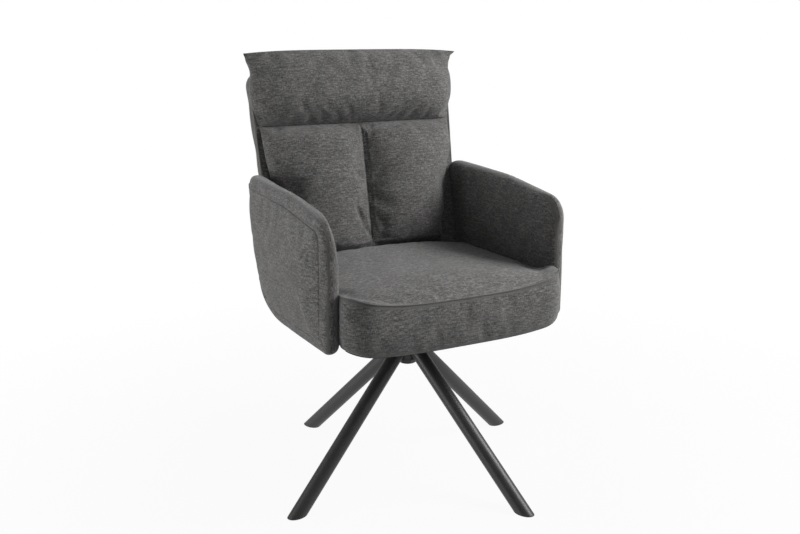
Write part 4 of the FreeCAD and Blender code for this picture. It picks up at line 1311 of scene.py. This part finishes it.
@dataclass
class BackShell:
    """The upholstered shell behind the back cushion, with a welt along its front edge."""

    back: LeaningBack
    height: float = 0.556
    thickness: float = 0.040
    half_bottom: float = 0.245
    half_top: float = 0.262
    corner: float = 0.036
    edge: float = 0.013
    tuck_height: float = 0.075
    tuck_depth: float = 0.012
    foot_corner: float = 0.008
    front_round: float = 0.004
    seam_inset: float = 0.0180
    crown: float = 0.0012
    stuffing: Stuffing = Stuffing(pressure=1.0, slack=0.01, cap=0.0025)

    def ring(self, inset: float) -> np.ndarray:
        """The shell's rounded outline, across and up, drawn in by an inset.

        Args:
            inset: distance inside the outline.

        Returns:
            The points, always as many.
        """
        slope = (self.half_top - self.half_bottom) / self.height
        low, high = 0.0 + inset, self.height - inset
        bottom = self.half_bottom - inset + slope * low
        top = self.half_bottom - inset + slope * high
        small, large = max(self.foot_corner - inset, 0.004), max(self.corner - inset, self.foot_corner)
        right = np.concatenate([
            bend((bottom - small, low + small), small, 270, 358, 8),
            bend((top - large, high - large), large, -2, 90, 12)])
        side = np.linspace(0, 1, 34)[1:-1, None]
        upright = right[7] + (right[8] - right[7]) * side
        across = np.linspace(0, 1, 30)[1:-1, None]
        left = right[::-1] * (-1, 1)
        over = right[-1] + (left[0] - right[-1]) * across
        down = left[11] + (left[12] - left[11]) * side
        under = left[-1] + (right[0] - left[-1]) * across
        return np.concatenate([right[:8], upright, right[8:], over, left[:12], down, left[12:], under])

    def build(self) -> tuple:
        """Make the shell's cover and the line of its welt.

        Returns:
            The cover and the welt's points.
        """
        skin = Skin("back_shell_cover")
        centre_up = self.height * 0.52

        def add(share: float, inset: float, behind: float, hold: float) -> None:
            """Add a ring to the skin.

            Args:
                share: how far it is drawn towards the shell's middle.
                inset: distance inside the outline.
                behind: distance behind the shell's front plane.
                hold: how firmly it is held.
            """
            ring = self.ring(inset)
            spine = np.stack([
                np.zeros(len(ring)), np.clip(ring[:, 1], centre_up - 0.08, centre_up + 0.08)], axis=-1)
            ring = ring + (spine - ring) * share
            tuck = self.tuck_depth * (1 - np.clip(ring[:, 1] / self.tuck_height, 0, 1)) ** 1.4
            skin.add(self.back.point(ring[:, 0], -behind * (1 - tuck / self.thickness), ring[:, 1]), hold, ring)

        for share in (1.0, 0.7, 0.4, 0.15):
            add(share, 0.006, 0.0, 1.0)
        for turn in np.radians((0, 30, 60, 90)):
            add(0.0, self.front_round * (1 - math.sin(turn)), self.front_round * (1 - math.cos(turn)), 1.0)
        for behind in (0.010, 0.017, 0.023):
            add(0.0, 0.0, behind, 0.0)
        for turn in np.radians(np.linspace(0, 90, 9)):
            add(0.0, self.edge * (1 - math.cos(turn)), self.thickness - self.edge * (1 - math.sin(turn)), 0.0)
        for beside, sunk, hold in ((-0.0015, 0.0004, 0.5), (0.0, 0.0016, 1.0), (0.0015, 0.0004, 0.5)):
            add(0.0, self.seam_inset + beside, self.thickness - sunk, hold)
        for share in (0.04, 0.1, 0.2, 0.32, 0.46, 0.62, 0.8, 1.0):
            add(share, self.seam_inset + 0.0015, self.thickness + self.crown * min(1, share * 4), 0.0)
        skin.flat[8:11] = skin.unrolled()[8:11]
        cover = self.stuffing.cover(skin)
        line = self.ring(-0.0002)
        line = line[line[:, 1] > 0.02]
        start = int(np.argmax(np.linalg.norm(np.diff(line, axis=0), axis=1)))
        line = np.roll(line, -(start + 1), axis=0)
        welt = self.back.point(line[:, 0], np.full(len(line), -0.0018), line[:, 1])
        return cover, welt


@dataclass
class DustCloth:
    """The lining stapled under the seat, which follows the cushion's lifted corners round the swivel plate."""

    seat: SeatCushion
    inset: float = 0.012
    opening: float = 0.095
    flat_height: float = 0.3670
    thickness: float = 0.001
    seam_inset: float = 0.010
    pitch: float = 0.032

    def outline(self, inset: float) -> np.ndarray:
        """The cushion's plan drawn in by an inset.

        Args:
            inset: distance inside the plan.

        Returns:
            The points of x and y.
        """
        plan = self.seat.outline()
        tangent = unit(np.roll(plan, -1, axis=0) - np.roll(plan, 1, axis=0))
        return plan - np.stack([tangent[:, 1], -tangent[:, 0]], axis=-1) * inset


    def height(self, plan: np.ndarray, share: float) -> np.ndarray:
        """The lining's underside: flat by the plate, and drawn up to the cushion's rim at its edge."""
        rim = self.seat.foot_height(plan) - 0.0006
        return self.flat_height + (rim - self.flat_height) * share

    def hole(self) -> np.ndarray:
        """The square opening's points, one for each point of the outline.

        Returns:
            The points of x and y.
        """
        plan = self.outline(self.inset)
        reach = np.maximum(np.abs(plan[:, 0]), np.abs(plan[:, 1] + 0.02))
        corner = plan / reach[:, None]
        return np.clip(corner, -1, 1) * self.opening

    def build(self) -> tuple:
        """Make the lining and its staples' line.

        Returns:
            The lining and the line.
        """
        edge, inner = self.outline(self.inset), self.hole()
        under = []
        for share in (0.0, 0.3, 0.6, 0.8, 0.9, 0.96, 1.0):
            plan = inner + (edge - inner) * share
            under.append(np.column_stack([plan, self.height(plan, eased((share - 0.55) / 0.45))]))
        skin = Skin("dust_cover_lining")
        for ring in under + [ring + (0, 0, self.thickness) for ring in under[::-1]] + under[:1]:
            skin.add(ring, 0.0, ring[:, :2])
        line = self.outline(self.inset + self.seam_inset)
        return skin.build(), np.column_stack([line, self.height(line, 0.97) - 0.0003])


@dataclass
class Studio:
    """The camera at the photograph's angle, a plain pale floor and soft lamps."""

    azimuth: float = math.radians(-28.5)
    elevation: float = 0.24212945
    location: tuple = (-1.02090515, -1.84375079, 1.0069586)
    lens: float = 42.975
    floor_reach: float = 40.0
    floor_drop: float = 0.0004
    bright_side: tuple = (0.60, 0.08, 0.80)
    sky: tuple = (0.06, 0.60, -0.30)
    lamps: tuple = (
        ("key_lamp", (1.45, -0.85, 1.70), 0.8, 40),
        ("low_lamp", (0.95, -1.05, 0.90), 0.4, 6),
        ("side_lamp", (-2.4, 0.45, 0.75), 1.4, 40),
        ("rear_lamp", (-0.4, 2.4, 2.2), 1.8, 20),
    )

    def build(self) -> None:
        """Set the camera, the floor, the world and the lamps."""
        data = bpy.data.cameras.new("camera")
        data.lens = self.lens
        data.sensor_width = 36
        data.clip_end = 200
        level = math.cos(self.elevation)
        camera = self.hung("camera", data, self.location, Vector((
            -math.sin(self.azimuth) * level, math.cos(self.azimuth) * level, -math.sin(self.elevation))))
        bpy.context.scene.camera = camera

        mesh = bpy.data.meshes.new("floor")
        corners = ((-1, -1), (1, -1), (1, 1), (-1, 1))
        mesh.from_pydata([(x * self.floor_reach, y * self.floor_reach, 0) for x, y in corners],
                         [], [(0, 1, 2, 3)])
        mesh.materials.append(PaleBackdrop("pale_floor").material())
        floor = placed("floor", mesh)
        floor.location.z = -self.floor_drop

        world = Shading(bpy.data.worlds.new("studio"))
        rays = world.add("LightPath").outputs
        seen = world.math("MAXIMUM", rays["Is Camera Ray"], rays["Is Transmission Ray"])
        side = world.add("VectorMath", {0: world.place("Generated"), 1: self.bright_side},
                         operation="DOT_PRODUCT").outputs["Value"]
        light = world.add("Background", {"Color": (1, 1, 1, 1), "Strength": world.ranged(side, *self.sky)})
        white = world.add("Background", {"Color": (1, 1, 1, 1), "Strength": 1.0})
        mixed = world.add("MixShader", {0: seen, 1: light.outputs[0], 2: white.outputs[0]})
        bpy.context.scene.world = world.close(mixed.outputs[0])
        for name, place, width, power in self.lamps:
            data = bpy.data.lights.new(name, "AREA")
            data.size = width
            data.energy = power
            self.hung(name, data, place, Vector((0, 0, 0.5)) - Vector(place))
        bpy.context.scene.view_settings.view_transform = "Standard"

    def hung(self, name: str, data: bpy.types.ID, place: tuple, toward: Vector) -> bpy.types.Object:
        """Hang a camera or lamp at a place, facing a direction.

        Args:
            name: its name.
            data: the camera or lamp.
            place: where it hangs.
            toward: the direction that it faces.

        Returns:
            The object.
        """
        made = placed(name, data)
        made.location = place
        made.rotation_mode = "QUATERNION"
        made.rotation_quaternion = toward.to_track_quat("-Z", "Y")
        return made


@dataclass
class Chair:
    """The whole chair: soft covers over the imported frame, and finishes on what the frame shows."""

    back: LeaningBack = field(default_factory=LeaningBack)
    finishes: dict = field(default_factory=dict)

    def finish(self) -> None:
        """Write every finish once."""
        kinds = [
            WovenCover("charcoal_melange", (0.026, 0.0255, 0.026), (0.090, 0.088, 0.086), (0.240, 0.234, 0.226)),
            PowderCoat("black_powder_coat", (0.0175, 0.016, 0.0155), 0.42),
            BareMetal("zinc_plate", (0.55, 0.56, 0.57)),
            BareMetal("staple_wire", (0.62, 0.62, 0.62), 0.3),
            Moulded("black_glide", (0.012, 0.012, 0.012)),
            Plywood("birch_plywood"),
            FeltedCloth("dust_cloth", (0.022, 0.022, 0.023)),
            FeltedCloth("seat_foam_cells", (0.80, 0.76, 0.62), 0.0011),
            FeltedCloth("sewing_thread", (0.26, 0.255, 0.25), 0.0008),
        ]
        self.finishes = {kind.name: kind.material() for kind in kinds}

    def dress_frame(self) -> None:
        """Give each node of the frame that stays in view or inside its finish, by how its name starts."""
        worn = {
            "black_powder_coat": ("leg_", "hub_tube", "swivel_plate", "spindle"),
            "black_glide": ("glide_", "lower_bush", "upper_bush", "thrust_washer"),
            "zinc_plate": ("plate_", "tee_nuts", "arm_bracket", "back_bracket", "bracket_screws"),
            "birch_plywood": ("seat_board", "back_board", "arm_board"),
            "seat_foam_cells": ("seat_foam", "lumbar_foam", "headrest_foam"),
            "dust_cloth": ("dust_cover",),
        }
        for finish, starts in worn.items():
            for name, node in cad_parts.items():
                if name.startswith(starts):
                    node.data.materials.clear()
                    node.data.materials.append(self.finishes[finish])


    def cover(self, piece: bpy.types.Object, nodes: tuple, fill: float) -> None:
        """Put a padded cover on the seat's body in place of its plain solids.

        Args:
            piece: the cover.
            nodes: the frame's nodes that it stands for.
            fill: how full it is; not used.
        """
        piece.data.materials.clear()
        piece.data.materials.append(self.finishes["charcoal_melange"])
        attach(piece, SEAT_BODY)
        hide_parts(*nodes)
        LOG.info("%s: %d faces", piece.name, len(piece.data.polygons))

    def trim(self, piece: bpy.types.Object, slot: str) -> None:
        """Put a sewn trim on the seat's body.

        Args:
            piece: the trim.
            slot: the name of a material slot; not used.
        """
        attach(piece, SEAT_BODY)
        LOG.info("%s: %d faces", piece.name, len(piece.data.polygons))

    def build(self) -> None:
        """Build every cover and trim in order."""
        self.finish()
        self.dress_frame()
        cloth = self.finishes["charcoal_melange"]
        thread = self.finishes["sewing_thread"]
        piping, stitches, staples = Sewing(Trim.PIPING), Sewing(Trim.STITCHES), Sewing(Trim.STAPLES)

        self.cover(BackCushion(self.back).build(), ("back_cushion",), 0.7)
        seat, seam = SeatCushion().build()
        self.cover(seat, ("seat_cushion",), 0.8)
        front_half, turning_point = -0.17, -0.10
        visible = seam[seam[:, 1] < front_half]
        visible = visible[np.argsort(np.arctan2(visible[:, 1] - turning_point, visible[:, 0]))]
        self.trim(piping.sew("seat_seam_welt", visible, cloth, (0.0013, 0.004, 0.003)), "upholstery")
        self.trim(stitches.sew("seat_seam_stitches", visible + (0, 0, 0.0016), thread,
                               (0.00045, 0.0042, 0.0028)), "upholstery")
        for side in Side:
            pad, face = Arm(side, self.back).build()
            label = side.name.lower()
            self.cover(pad, (f"arm_pad_{label}",), 0.85)
            self.cover(face, (f"arm_panel_{label}",), 0.85)
        shell, welt = BackShell(self.back).build()
        self.cover(shell, ("back_shell",), 0.9)
        self.trim(piping.sew("back_shell_welt", welt, cloth, (0.0022, 0.005, 0.003)), "upholstery")
        lining, line = DustCloth(SeatCushion()).build()
        lining.data.materials.append(self.finishes["dust_cloth"])
        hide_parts("dust_cover")
        self.trim(lining, "dust_cloth")
        self.trim(staples.sew("dust_cover_staples", line, self.finishes["staple_wire"],
                              (0.0004, DustCloth.pitch, 0.010), looped=True), "zinc_steel")


def main() -> None:
    """Build the chair and its studio."""
    logging.basicConfig(level=logging.INFO, format="%(message)s")
    Chair().build()
    Studio().build()


if __name__ == "__main__":
    main()
